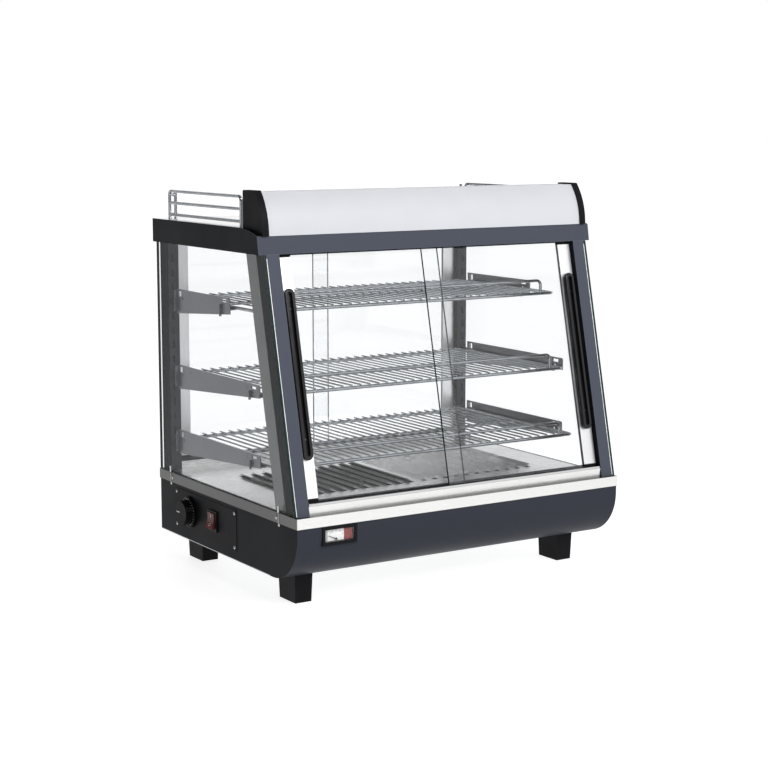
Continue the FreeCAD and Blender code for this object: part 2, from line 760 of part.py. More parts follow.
def thermometer_lens():
    window_x, window_z = gauge_ranges(GAUGE_WALL)
    face = -size.band_end
    return keep(block(window_x, (face + 0.6, face + 1.6), window_z), "thermometer_lens")


def thermometer_pointer():
    """Needle on a hub, lying to the cold end of its scale at rest."""
    pin_x, pin_z = gauge_pivot()
    face = -size.band_end
    low, high = face + 4.6, face + 5.4
    hub = rod("Y", 2.0, high - low, (pin_x, low, pin_z))
    needle = prism("XZ", low, high, [[(pin_x, pin_z - 0.9), (pin_x, pin_z + 0.9),
                                      (pin_x - 14.4, pin_z + 6.5), (pin_x - 14.8, pin_z + 5.9)]])
    bore = rod("Y", 0.86, 4, (pin_x, low - 1, pin_z))
    return keep(trimmed(fused([hub, needle]), [bore]), "thermometer_pointer")


HEAD_RADIUS = 3.9


def pan_screw(axis, base, head_radius, shank_radius, length, name="screw"):
    """Pan-head screw whose shank starts at base and runs back along the axis."""
    height = head_radius * 0.55
    dome = (head_radius ** 2 + (0.6 * height) ** 2) / (1.2 * height)
    profile = [(as_dim(-length), as_dim(0)),
               (as_dim(-length), as_dim(shank_radius)),
               (as_dim(0), as_dim(shank_radius)),
               (as_dim(0), as_dim(head_radius)),
               (as_dim(height * 0.4), as_dim(head_radius)),
               (as_dim(height), as_dim(0), dome, -1)]
    return turned(axis, profile, base, name)


def machine_screws():
    """Screws of the control plate and of the trim seams."""
    screws = [pan_screw("-X", (-plate_face, y, z), HEAD_RADIUS, 1.9, 6.0) for y, z in PLATE_SCREWS]
    screws += [pan_screw("-X", (-size.band_half, y, z), HEAD_RADIUS, 1.9, 8.0)
               for y, z in SEAM_SCREWS]
    screws += [pan_screw("X", (size.band_half, y, z), HEAD_RADIUS, 1.9, 8.0)
               for y, z in SEAM_SCREWS]
    group = doc.addObject("Part::Compound", "screw_group")
    group.Links = screws
    return keep(group, "machine_screws")


# ---------------------------------------------------------------- heating and supply

def heating_elements():
    """Two sheathed hairpin elements, each hung from the floor pan by two straps."""
    solids = []
    depth = 138.0
    for side in SIDES.values():
        centre = side * (size.louvre_first.value + 5 * size.louvre_pitch.value)
        route = [FreeCAD.Vector(centre - 45, 190, depth), FreeCAD.Vector(centre - 45, -95, depth),
                 FreeCAD.Vector(centre + 45, -95, depth), FreeCAD.Vector(centre + 45, 190, depth)]
        element = bent_bar(route, 4.0, 30.0)
        for y in (-40.0, 130.0):
            strap = Part.makeBox(110, 10, 1.5, FreeCAD.Vector(centre - 55, y, depth - 5))
            hangers = [Part.makeBox(1.5, 10, size.band_high.value - depth + 5,
                                    FreeCAD.Vector(centre + shift, y, depth - 5))
                       for shift in (-55.0, 53.5)]
            element = element.fuse([strap] + hangers)
        solids.append(element.removeSplitter())
    return shaped(Part.makeCompound(solids), "heating_elements")


def terminal_block():
    """Six-way screw terminal on the bottom plate, beside the cord inlet."""
    low = under + gauge
    body = block((as_dim(200.0), as_dim(266.0)), (as_dim(205.0), as_dim(229.0)), (low, low + 20))
    wells = [rod("Z", 3.0, 12, (as_dim(207.0 + way * 10.5), as_dim(y), low + 12))
             for way in range(6) for y in (210.5, 223.5)]
    return keep(trimmed(body, wells), "terminal_block")


def cord_inlet():
    """Gland in the rear panel: a thin outer collar, a body and a nut inside."""
    wall = size.base_end
    path = [(as_dim(-22.0), as_dim(4.4)),
            (as_dim(-22.0), as_dim(8.0)),
            (-gauge - 5, as_dim(8.0)),
            (-gauge - 5, as_dim(12.0)),
            (-gauge, as_dim(12.0)),
            (-gauge, as_dim(8.0)),
            (as_dim(0), as_dim(8.0)),
            (as_dim(0), as_dim(11.0)),
            (as_dim(2.0), as_dim(10.0)),
            (as_dim(2.0), as_dim(4.4))]
    return keep(turned("Y", path, (as_dim(INLET_X), wall, as_dim(INLET_Z))), "cord_inlet")


# ---------------------------------------------------------------- floor, sills and tracks

def floor_pan():
    """Floor sheet with two groups of lanced louvres that open away from the middle."""
    half = size.post_far.value - 0.3
    top, bottom = size.deck_high.value, size.band_high.value
    front, rear = size.deck_front.value, size.rear_sill_front.value - 0.3
    sheet = Part.makeBox(2 * half, rear - front, top - bottom, FreeCAD.Vector(-half, front, bottom))
    notch_half, notch_front = size.rear_post_near.value - 0.3, size.rear_post_front.value - 0.3
    notches = [Part.makeBox(30, 30, 6, FreeCAD.Vector(x, notch_front, bottom - 1))
               for x in (notch_half, -notch_half - 30)]
    radius = size.louvre_width.value / 2
    start, stop = size.louvre_front.value, size.louvre_rear.value
    rise = size.louvre_rise.value
    thick = top - bottom
    slots, flaps = [], []
    for side in SIDES.values():
        for index in range(int(size.louvre_count.value)):
            x = side * (size.louvre_first.value + index * size.louvre_pitch.value)
            for y in (start + radius, stop - radius):
                slots.append(Part.makeCylinder(radius, 4, FreeCAD.Vector(x, y, bottom - 1)))
            slots.append(Part.makeBox(2 * radius, stop - start - 2 * radius, 4,
                                      FreeCAD.Vector(x - radius, start + radius, bottom - 1)))
            hinge, edge = x - side * (radius + 0.6), x + side * (radius - 0.5)
            y = start + radius + 1.5
            corners = [FreeCAD.Vector(hinge, y, bottom), FreeCAD.Vector(hinge, y, top),
                       FreeCAD.Vector(edge, y, top + rise),
                       FreeCAD.Vector(edge, y, top + rise - thick)]
            section = Part.Face(Part.makePolygon(corners + corners[:1]))
            flaps.append(section.extrude(FreeCAD.Vector(0, stop - radius - 1.5 - y, 0)))
    pan = sheet.cut(Part.makeCompound(slots + notches)).fuse(flaps)
    return shaped(pan.removeSplitter(), "floor_pan")


def channel(front, rear, low, high, wall):
    """A U section that opens upwards."""
    return [(front, low), (rear, low), (rear, high), (rear - wall, high),
            (rear - wall, low + wall), (front + wall, low + wall), (front + wall, high),
            (front, high)]


SILL_WALL = 1.2
SILL_HALF = 301.5


def sills():
    for label, half, front, rear in (
            ("front_sill", as_dim(SILL_HALF), size.sill_front, size.sill_rear),
            ("rear_sill", size.rear_post_near - 0.5, size.rear_sill_front, size.rear_sill_back)):
        section = channel(front, rear, size.band_high, size.sill_high, SILL_WALL)
        keep(prism("YZ", -half, half, [section]), label)


def comb(front, rear, back_level, mouth_level, floor_level, grooves):
    """Track section: a bar with two grooves open at the mouth.  Each groove is a pair of functions of
    height, for its nearer and its further wall."""
    path = [(front, back_level), (rear, back_level), (rear, mouth_level)]
    for near, far in reversed(grooves):
        path += [(far(mouth_level), mouth_level), (far(floor_level), floor_level),
                 (near(floor_level), floor_level), (near(mouth_level), mouth_level)]
    return path + [(front, mouth_level)]


def front_groove(index):
    """Walls of one slanted groove, by track."""
    near = size.front_track + size.track_step * index + size.pane_inset - size.track_play
    far = near + size.pane_depth + 2 * size.track_play
    return (lambda height: slanted(height, near)), (lambda height: slanted(height, far))


def rear_groove(index):
    near = size.rear_track + size.rear_step * index + size.pane_inset - size.track_play
    far = near + size.pane_depth + 2 * size.track_play
    return (lambda height: near), (lambda height: far)


TRACK_TOP_LOW = 577.6
TRACK_TOP_HIGH = 600.0
TRACK_GAP = 0.1


def tracks(label, grooves, lower_ends, upper_ends):
    """The lower and the upper plastic track of one pair of doors."""
    half = as_dim(SILL_HALF - TRACK_GAP)
    lower = comb(lower_ends[0], lower_ends[1], size.band_high + SILL_WALL + TRACK_GAP,
                 size.track_high, size.track_high - 11, grooves)
    upper = comb(upper_ends[0], upper_ends[1], as_dim(TRACK_TOP_HIGH),
                 as_dim(TRACK_TOP_LOW), as_dim(TRACK_TOP_HIGH - 4.5), grooves)
    pair = doc.addObject("Part::Compound", "track_pair")
    pair.Links = [prism("YZ", -half, half, [lower]), prism("YZ", -half, half, [upper])]
    return keep(pair, label)


# ---------------------------------------------------------------- posts and glass

def front_post(name):
    """Slanted square tube, open at both ends."""
    side = SIDES[name]
    wall = size.post_wall
    low, high = span(side, size.post_near, size.post_far)
    outer = prism("YZ", low, high,
                  [slanted_path(size.band_high, size.frame_low, as_dim(0), size.post_depth)])
    inner = prism("YZ", low + wall, high - wall,
                  [slanted_path(size.band_high - 1, size.frame_low + 1, wall,
                                size.post_depth - wall)])
    return keep(trimmed(outer, [inner]), f"post_front_{name}")


SLOT_COUNT = 14
SLOT_PITCH = 26.0
SLOT_FIRST = 206.0
SLOT_SIZE = (4.5, 13.0)
HOOK_DEPTH = 4.0


def rear_post(name):
    """Upright square tube with a ladder of slots for the shelf brackets."""
    side = SIDES[name]
    wall = size.post_wall
    low, high = span(side, size.rear_post_near, size.post_far)
    outer = block((low, high), (size.rear_post_front, size.rear_post_back),
                  (size.band_high, size.frame_low))
    inner = block((low + wall, high - wall),
                  (size.rear_post_front + wall, size.rear_post_back - wall),
                  (size.band_high - 1, size.frame_low + 1))
    middle = side * (size.bracket_near + size.bracket_gauge / 2)
    slots = [block((middle - SLOT_SIZE[0] / 2, middle + SLOT_SIZE[0] / 2),
                   (size.rear_post_front - 1, size.rear_post_front + wall + 1),
                   (as_dim(SLOT_FIRST + step * SLOT_PITCH),
                    as_dim(SLOT_FIRST + step * SLOT_PITCH + SLOT_SIZE[1])))
             for step in range(SLOT_COUNT)]
    return keep(trimmed(outer, [inner] + slots), f"post_rear_{name}")


def side_glass(name):
    low, high = span(SIDES[name], size.post_far, size.post_far + size.glass_gauge)
    bottom, top = size.band_high + 0.2, size.frame_low - 0.2
    outline = [(slanted(bottom), bottom), (size.glass_rear, bottom), (size.glass_rear, top),
               (slanted(top), top)]
    return keep(prism("YZ", low, high, [outline]), f"side_glass_{name}")


def side_strips():
    """Stainless strips inside the side glass, behind and parallel to the front posts."""
    strips = []
    for side in SIDES.values():
        low, high = span(side, size.post_far - 2.2, size.post_far - 0.2)
        strips.append(prism("YZ", low, high,
                            [slanted_path(size.deck_high + 0.2, size.frame_low - 0.2,
                                          size.strip_near, size.strip_far)]))
    pair = doc.addObject("Part::Compound", "strip_pair")
    pair.Links = strips
    return keep(pair, "side_strips")


# ---------------------------------------------------------------- top

SHOULDER_START = -75.0


def top_frame():
    """Folded skirt round the top, with ledges over posts and glass and a sloping front."""
    skirt = size.skirt_gauge
    drop = size.roof_high - size.frame_front_high
    run = size.frame_front_top - SHOULDER_START
    radius = (run * run + drop * drop) / (2 * drop)
    outline = [(size.frame_front, size.frame_low),
               (size.frame_rear, size.frame_low),
               (size.frame_rear, size.roof_high),
               (as_dim(SHOULDER_START), size.roof_high),
               (size.frame_front_top, size.frame_front_high, radius, 1)]
    shell = prism("YZ", -size.frame_half, size.frame_half, [outline])
    lean = size.frame_front_top - size.frame_front
    rise = size.frame_front_high - size.frame_low
    head = size.roof_high + 20
    inside = [(size.frame_front + skirt + lean * (skirt / rise), size.frame_low + skirt),
              (size.frame_rear - skirt, size.frame_low + skirt),
              (size.frame_rear - skirt, head),
              (size.frame_front + skirt + lean * ((head - size.frame_low) / rise), head)]
    hollow = prism("YZ", skirt - size.frame_half, size.frame_half - skirt, [inside])
    opening = block((-size.post_near + 0.2, size.post_near - 0.2),
                    (size.frame_front + 2.6, size.frame_rear - skirt - 0.2),
                    (size.frame_low - 1, size.frame_low + skirt + 1))
    return keep(trimmed(shell, [hollow, opening]), "top_frame")


ROOF_GAUGE = 1.2
ROOF_STEP = 608.8


def roof_plate():
    """Roof sheet that steps down under the hood."""
    half = size.frame_half - size.skirt_gauge - 0.2
    front = size.frame_front_top + size.skirt_gauge + 0.4
    outline = [(front, as_dim(ROOF_STEP)),
               (size.hood_rear + 0.3 + ROOF_GAUGE, as_dim(ROOF_STEP)),
               (size.hood_rear + 0.3 + ROOF_GAUGE, size.roof_high - ROOF_GAUGE),
               (size.frame_rear - size.skirt_gauge - 0.2, size.roof_high - ROOF_GAUGE),
               (size.frame_rear - size.skirt_gauge - 0.2, size.roof_high),
               (size.hood_rear + 0.3, size.roof_high),
               (size.hood_rear + 0.3, as_dim(ROOF_STEP + ROOF_GAUGE)),
               (front, as_dim(ROOF_STEP + ROOF_GAUGE))]
    return keep(prism("YZ", -half, half, [outline]), "roof_plate")


def hood_curve(inset):
    """Radius of the hood's front and the Y where it meets the top, drawn in by an inset."""
    radius = size.hood_radius - inset
    centre = size.hood_front + size.hood_radius
    rise = size.hood_high - inset - size.hood_low
    reach = Dim(math.sqrt(radius.value ** 2 - rise.value ** 2),
                f"sqrt(({radius.formula})^2 - ({rise.formula})^2)")
    return radius, centre, centre - reach


def hood_end_cap(name):
    radius, centre, shoulder = hood_curve(as_dim(0))
    low, high = span(SIDES[name], size.hood_half - size.cap_width, size.hood_half)
    corner = 3.0
    outline = [(size.hood_rear, size.hood_low),
               (size.hood_rear, size.hood_high - corner),
               (size.hood_rear - corner, size.hood_high, corner, 1),
               (shoulder, size.hood_high),
               (centre - radius, size.hood_low, radius, 1)]
    return keep(prism("YZ", low, high, [outline]), f"hood_end_cap_{name}")


DIFFUSER_INSET = as_dim(2.6)
DIFFUSER_WALL = as_dim(2.5)


def hood_diffuser():
    """Curved opal cover between the end caps, closed at the top and open at the rear."""
    outer, centre, outer_shoulder = hood_curve(DIFFUSER_INSET)
    inner, _, inner_shoulder = hood_curve(DIFFUSER_INSET + DIFFUSER_WALL)
    outer_top = size.hood_high - DIFFUSER_INSET
    inner_top = outer_top - DIFFUSER_WALL
    half = size.hood_half - size.cap_width
    outline = [(centre - outer, size.hood_low),
               (centre - inner, size.hood_low),
               (inner_shoulder, inner_top, inner, -1),
               (size.hood_rear - 1.5, inner_top),
               (size.hood_rear - 1.5, outer_top),
               (outer_shoulder, outer_top),
               (centre - outer, size.hood_low, outer, 1)]
    return keep(prism("YZ", -half, half, [outline[1:]]), "hood_diffuser")


def hood_back():
    half = size.hood_half - size.cap_width - 0.2
    return keep(block((-half, half), (size.hood_rear - 2.5, size.hood_rear - 1.3),
                      (size.hood_low, size.hood_high - 5.3)), "hood_back")


def hood_lamp():
    """Tube lamp and its batten, standing on the roof's step."""
    base = ROOF_STEP + ROOF_GAUGE
    batten = block((as_dim(-295.0), as_dim(295.0)), (as_dim(-122.0), as_dim(-100.0)),
                   (as_dim(base), as_dim(base + 14)))
    holders = [block((as_dim(x), as_dim(x + 9.0)), (as_dim(-119.0), as_dim(-103.0)),
                     (as_dim(base + 14), as_dim(base + 38))) for x in (-293.0, 284.0)]
    tube = rod("X", 7.5, 570, (as_dim(-285.0), as_dim(-111.0), as_dim(base + 28)))
    return keep(fused([batten, tube] + holders), "hood_lamp")


def guard_rail(name):
    """Welded rod rail along one side of the roof, with a short return at its rear."""
    side = SIDES[name]
    radius = size.rail_radius.value
    x = side * size.rail_side.value
    inner = side * (size.rail_side.value - 11.5)
    front, rear = size.rail_front.value, size.rail_rear.value
    roof, high = size.roof_high.value, size.rail_high.value
    frame = bent_bar([FreeCAD.Vector(x, front, roof), FreeCAD.Vector(x, front, high),
                      FreeCAD.Vector(x, rear, high), FreeCAD.Vector(x, rear, roof)], radius, 7.0)
    step = (high - roof) / 2.4
    pieces = [bar(FreeCAD.Vector(x, front, high - step * level),
                  FreeCAD.Vector(x, rear, high - step * level), radius) for level in (1, 2)]
    pieces.append(bar(FreeCAD.Vector(inner, rear, roof), FreeCAD.Vector(inner, rear, high), radius))
    for level in (0, 1, 2):
        height = high - step * level - (7.0 if level == 0 else 0.0)
        pieces.append(bar(FreeCAD.Vector(x, rear, height), FreeCAD.Vector(inner, rear, height),
                          radius * 0.9))
    return shaped(frame.fuse(pieces).removeSplitter(), f"guard_rail_{name}")


# ---------------------------------------------------------------- shelves

def shelf(name):
    """Welded wire shelf: a border wire, a cross wire, wires front to back and a raised front lip."""
    level, front, lip, _, _ = SHELVES[name]
    half, back = size.shelf_half.value, size.shelf_back.value
    border, wire = size.border_radius.value, size.wire_radius.value
    corner = 6.0
    rail = [FreeCAD.Vector(0, back, level), FreeCAD.Vector(-half, back, level),
            FreeCAD.Vector(-half, front, level), FreeCAD.Vector(half, front, level),
            FreeCAD.Vector(half, back, level), FreeCAD.Vector(0, back, level)]
    pieces = [bent_bar(rail, border, corner)]
    middle = (front + back) / 2
    pieces.append(bar(FreeCAD.Vector(-half, middle, level), FreeCAD.Vector(half, middle, level),
                      border * 0.9))
    wire_level = level + border + wire - 0.3
    pitch = size.wire_pitch.value
    count = int((half - 8) // pitch)
    for index in range(-count, count + 1):
        x = index * pitch
        pieces.append(bar(FreeCAD.Vector(x, front, wire_level),
                          FreeCAD.Vector(x, back + 8, wire_level), wire))
        pieces.append(bar(FreeCAD.Vector(x, front, wire_level + wire),
                          FreeCAD.Vector(x, front, level), wire))
    lip_half = size.lip_half.value
    pieces.append(bent_bar([FreeCAD.Vector(-lip_half, front, level),
                            FreeCAD.Vector(-lip_half, front, level + lip),
                            FreeCAD.Vector(lip_half, front, level + lip),
                            FreeCAD.Vector(lip_half, front, level)], border * 0.9, 9.0))
    return shaped(pieces[0].fuse(pieces[1:]).removeSplitter(), f"shelf_{name}")


def bracket(name, side):
    """Cantilever bracket hooked into a rear post: a tapered, pierced plate with a ledge for the
    shelf, an outward flange at its root and a small outward lug near its front end."""
    level, _, _, reach, front_height = SHELVES[name]
    top = as_dim(level) + size.bracket_rise
    post = size.rear_post_front
    root = post - size.bracket_gap
    near, far = size.bracket_near, size.bracket_near + size.bracket_gauge
    low, high = span(side, near, far)
    plate = [(root, top), (as_dim(reach + 4), top), (as_dim(reach), top - 4, 4.0, 1),
             (as_dim(reach), top - front_height), (root, top - size.bracket_root)]
    windows = [rectangle((as_dim(reach + 12), as_dim(reach + 28)), (top - 8.5, top - 3)),
               rectangle((root - 17, root - 5), (top - 13, top - 3))]
    holes = [(as_dim(reach + 22), top - 15, 2.4), (root - 22, top - 16, 2.2),
             (as_dim(reach + 44), top - 9, 1.4), (root - 52, top - 9, 1.4)]
    web = prism("YZ", low, high, [plate] + windows, holes)
    ledge_top = as_dim(level) - size.border_radius
    ledge = block(span(side, near - 12, near), (as_dim(reach), root), (ledge_top - 1.5, ledge_top))
    lug = block(span(side, far, far + 4), (as_dim(reach + 30), as_dim(reach + 32)),
                (top - front_height - 5.5, top - 12))
    flange = block(span(side, far, far + 6), (root - 1.6, root),
                   (top - size.bracket_root + 4, top - 2))
    hooks = []
    for step in range(SLOT_COUNT):
        slot = SLOT_FIRST + step * SLOT_PITCH
        if top.value - size.bracket_root.value < slot and slot + SLOT_SIZE[1] < top.value:
            hooks.append(block((low, high), (root, post + HOOK_DEPTH),
                               (as_dim(slot + 1.0), as_dim(slot + SLOT_SIZE[1] - 1.0))))
    return fused([web, ledge, lug, flange] + hooks)


def shelf_brackets():
    group = doc.addObject("Part::Compound", "bracket_group")
    group.Links = [bracket(name, side) for name in SHELVES for side in SIDES.values()]
    return keep(group, "shelf_brackets")


# ---------------------------------------------------------------- doors

PANE_LOW = 172.5
PANE_HIGH = 590.0
STILE_LOW = 183.0
STILE_HIGH = 576.5
STILE_LIP = 2.0


def slice_of(track, low, high, near, far):
    """Section of a door leaf between two heights and two depths into its edge profile."""
    if track[0] == "front":
        start = size.front_track + size.track_step * track[1]
        return slanted_path(as_dim(low), as_dim(high), start + near, start + far)
    start = size.rear_track + size.rear_step * track[1]
    return rectangle((start + near, start + far), (as_dim(low), as_dim(high)))


def door(label, side, track):
    """A sliding leaf: its glass, and the edge profile that grips the glass."""
    pane_span = (size.pane_inset, size.pane_inset + size.pane_depth)
    edge = size.door_edge if track[0] == "front" else size.rear_door_edge
    low, high = span(side, -size.door_lap, edge - STILE_LIP)
    glass = prism("YZ", low, high, [slice_of(track, PANE_LOW, PANE_HIGH, *pane_span)])
    keep(glass, f"{label}_glass")
    low, high = span(side, edge - size.stile_width, edge)
    profile = prism("YZ", low, high,
                    [slice_of(track, STILE_LOW, STILE_HIGH, as_dim(0), size.stile_depth)])
    low, high = span(side, edge - size.stile_width - 1, edge - STILE_LIP)
    slot = prism("YZ", low, high, [slice_of(track, STILE_LOW - 1, STILE_HIGH + 1, *pane_span)])
    keep(trimmed(profile, [slot]), f"{label}_stile")


def door_grip(label, side, track_index):
    """Long pull with rounded ends and a finger groove, standing on the edge profile's face."""
    rake = math.atan2(size.slant_high.value - size.slant_low.value,
                      size.frame_low.value - size.band_high.value)
    length = (size.grip_high.value - size.grip_low.value) / math.cos(rake)
    width, depth = size.grip_width.value, size.grip_depth.value * math.cos(rake)

    def stadium(half_width, run, thick):
        """Upright slab with round ends, its back at Y = 0."""
        centres = (half_width, run - half_width)
        slab = Part.makeBox(2 * half_width, thick, centres[1] - centres[0],
                            FreeCAD.Vector(-half_width, -thick, centres[0]))
        ends = [Part.makeCylinder(half_width, thick, FreeCAD.Vector(0, -thick, centre),
                                  FreeCAD.Vector(0, 1, 0)) for centre in centres]
        return slab.fuse(ends).removeSplitter()

    body = stadium(width / 2, length, depth)
    rim = [edge for edge in body.Edges if edge.BoundBox.YMax < -depth + 0.01]
    body = body.makeFillet(3.0, rim)
    margin = 6.0
    groove = stadium(width / 2 - margin, length - 2 * margin, depth)
    groove.translate(FreeCAD.Vector(0, -2.2, margin))
    behind = size.front_track.value + size.track_step.value * track_index
    middle = side * (size.door_edge.value - size.stile_width.value / 2)
    foot = FreeCAD.Vector(middle, slanted(size.grip_low, behind).value, size.grip_low.value)
    lean = FreeCAD.Rotation(FreeCAD.Vector(1, 0, 0), -math.degrees(rake))
    return shaped(body.cut(groove), f"{label}_grip", FreeCAD.Placement(foot, lean))


# ---------------------------------------------------------------- assembly

for name in SIDES:
    side_panel(name)
front_fascia()
rear_panel()
bottom_plate()
for end in FOOT_Y:
    for name in SIDES:
        foot(name, end)
trim_end("trim_front", -1, size.seam_front - SEAM_GAP)
trim_end("trim_rear", 1, size.seam_rear + SEAM_GAP)
trim_sides()
control_panel()
thermostat_body()
thermostat_spindle()
thermostat_knob()
rocker_housing()
rocker_paddle()
thermometer_case()
thermometer_lens()
thermometer_pointer()
machine_screws()
heating_elements()
terminal_block()
cord_inlet()
floor_pan()
sills()
tracks("front_tracks", [front_groove(0), front_groove(1)],
       (size.sill_front + SILL_WALL + TRACK_GAP, size.sill_rear - SILL_WALL - TRACK_GAP),
       (as_dim(-146.0), as_dim(-121.0)))
tracks("rear_tracks", [rear_groove(0), rear_groove(1)],
       (size.rear_sill_front + SILL_WALL + TRACK_GAP, size.rear_sill_back - SILL_WALL - TRACK_GAP),
       (size.rear_track - 3.8, size.rear_track + 17.4))
for name in SIDES:
    front_post(name)
    rear_post(name)
    side_glass(name)
side_strips()
top_frame()
roof_plate()
for name in SIDES:
    hood_end_cap(name)
    guard_rail(name)
hood_diffuser()
hood_back()
hood_lamp()
for name in SHELVES:
    shelf(name)
shelf_brackets()
door("door_front_right", 1, ("front", 0))
door("door_front_left", -1, ("front", 1))
door("door_rear_right", 1, ("rear", 0))
door("door_rear_left", -1, ("rear", 1))
door_grip("door_front_right", 1, 0)
door_grip("door_front_left", -1, 1)


def check_and_write():
    """Stops on any failed object or bad shape, then writes one STEP file per sub-part."""
    doc.recompute()
    failed = [thing.Label for thing in doc.Objects
              if "Invalid" in thing.State or "Error" in thing.State]
    bad = [part.Label for part in parts if part.Shape.isNull() or not part.Shape.isValid()]
    if failed or bad:
        raise RuntimeError(f"failed objects: {failed}; bad shapes: {bad}")
    os.makedirs("parts", exist_ok=True)
    for part in parts:
        part.Shape.exportStep(f"parts/{part.Label}.step")
    print(len(parts), "parts written")


check_and_write()
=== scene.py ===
import math

import bmesh
import bpy
from mathutils import Matrix, Vector


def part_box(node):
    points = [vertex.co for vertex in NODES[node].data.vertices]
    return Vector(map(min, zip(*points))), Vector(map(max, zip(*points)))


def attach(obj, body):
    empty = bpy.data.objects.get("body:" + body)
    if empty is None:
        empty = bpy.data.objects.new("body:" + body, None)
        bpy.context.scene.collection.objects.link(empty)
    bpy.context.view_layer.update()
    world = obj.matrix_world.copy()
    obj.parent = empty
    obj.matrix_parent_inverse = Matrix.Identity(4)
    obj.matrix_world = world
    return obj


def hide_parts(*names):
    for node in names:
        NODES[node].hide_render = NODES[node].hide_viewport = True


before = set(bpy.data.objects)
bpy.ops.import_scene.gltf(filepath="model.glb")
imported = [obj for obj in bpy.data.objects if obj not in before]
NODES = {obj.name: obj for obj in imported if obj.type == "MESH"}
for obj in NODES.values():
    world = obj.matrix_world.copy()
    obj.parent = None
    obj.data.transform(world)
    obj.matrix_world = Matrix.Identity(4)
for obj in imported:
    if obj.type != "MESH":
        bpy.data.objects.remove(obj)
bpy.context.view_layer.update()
MM = 0.001
ROOT = "case"


# ---------------------------------------------------------------- shader building

class Shader:
    """A material's node tree, with short names for what the finishes below need."""

    def __init__(self, name):
        self.material = bpy.data.materials.new(name)
        self.material.use_nodes = True
        self.tree = self.material.node_tree
        self.tree.nodes.clear()
        self.output = self.tree.nodes.new("ShaderNodeOutputMaterial")

    def node(self, kind, settings=None, **inputs):
        """Adds a node.  Inputs are values or other nodes' sockets, with _ for a space in their names."""
        node = self.tree.nodes.new(kind)
        for name, value in (settings or {}).items():
            setattr(node, name, value)
        for name, value in inputs.items():
            self.feed(node.inputs[name.replace("_", " ")], value)
        return node

    def feed(self, socket, value):
        if isinstance(value, bpy.types.NodeSocket):
            self.tree.links.new(value, socket)
        else:
            socket.default_value = value

    def position(self, scale=(1, 1, 1)):
        """Row-frame position in metres, stretched by a scale."""
        where = self.node("ShaderNodeTexCoord").outputs["Object"]
        return self.node("ShaderNodeMapping", Vector=where, Scale=scale).outputs["Vector"]

    def noise(self, scale, detail=3.0, stretch=(1, 1, 1), roughness=0.5):
        return self.node("ShaderNodeTexNoise", Vector=self.position(stretch), Scale=scale,
                         Detail=detail, Roughness=roughness).outputs["Fac"]

    def remap(self, value, low, high, source_low=0.0, source_high=1.0):
        node = self.node("ShaderNodeMapRange", Value=value)
        for socket, number in zip(list(node.inputs)[1:5], (source_low, source_high, low, high)):
            socket.default_value = number
        return node.outputs["Result"]

    def maths(self, operation, first, second=0.0):
        node = self.node("ShaderNodeMath", {"operation": operation})
        self.feed(node.inputs[0], first)
        self.feed(node.inputs[1], second)
        return node.outputs[0]

    def tint(self, factor, first, second):
        """Colour between two colours by a factor."""
        node = self.node("ShaderNodeMix", {"data_type": "RGBA"})
        self.feed(node.inputs["Factor"], factor)
        sockets = [socket for socket in node.inputs if socket.type == "RGBA"]
        for socket, colour in zip(sockets, (first, second)):
            self.feed(socket, colour if isinstance(colour, bpy.types.NodeSocket) else (*colour, 1))
        return next(socket for socket in node.outputs if socket.type == "RGBA")

    def scaled(self, colour, factor):
        """A colour times a number."""
        node = self.node("ShaderNodeVectorMath", {"operation": "SCALE"}, Scale=factor)
        self.feed(node.inputs[0], colour)
        return node.outputs["Vector"]

    def turned(self):
        """Components of the surface's direction along X, Y and Z."""
        normal = self.node("ShaderNodeNewGeometry").outputs["Normal"]
        return self.node("ShaderNodeSeparateXYZ", Vector=normal).outputs

    def spread(self, noise, low, high):
        """Noise, which mostly lies between 0.3 and 0.7, spread over a range."""
        return self.remap(noise, low, high, 0.3, 0.7)

    def cosine(self, first, second):
        """Cosine of the angle between two directions."""
        node = self.node("ShaderNodeVectorMath", {"operation": "DOT_PRODUCT"})
        self.feed(node.inputs[0], first)
        self.feed(node.inputs[1], second)
        return node.outputs["Value"]

    def blend(self, factor, first, second):
        """Mix of two shaders by a factor."""
        node = self.node("ShaderNodeMixShader", Fac=factor)
        self.feed(node.inputs[1], first.outputs[0])
        self.feed(node.inputs[2], second.outputs[0])
        return node

    def bump(self, height, strength, distance):
        return self.node("ShaderNodeBump", Height=height, Strength=strength,
                         Distance=distance).outputs["Normal"]

    def edges(self, radius):
        """How near a point is to a sharp outer edge, from 0 on a flat to 1 on an edge."""
        rounded = self.node("ShaderNodeBevel", {"samples": 4}, Radius=radius).outputs["Normal"]
        true = self.node("ShaderNodeNewGeometry").outputs["Normal"]
        return self.remap(self.cosine(rounded, true), 1.0, 0.0, 0.75, 0.99)

    def surface(self, **inputs):
        principled = self.node("ShaderNodeBsdfPrincipled", **inputs)
        self.tree.links.new(principled.outputs[0], self.output.inputs["Surface"])
        return self.material


WHITE = (1, 1, 1, 1)


def shade(colour, factor):
    """A constant colour, lighter or darker by a factor and no lighter than white."""
    return tuple(min(1.0, channel * factor) for channel in colour)


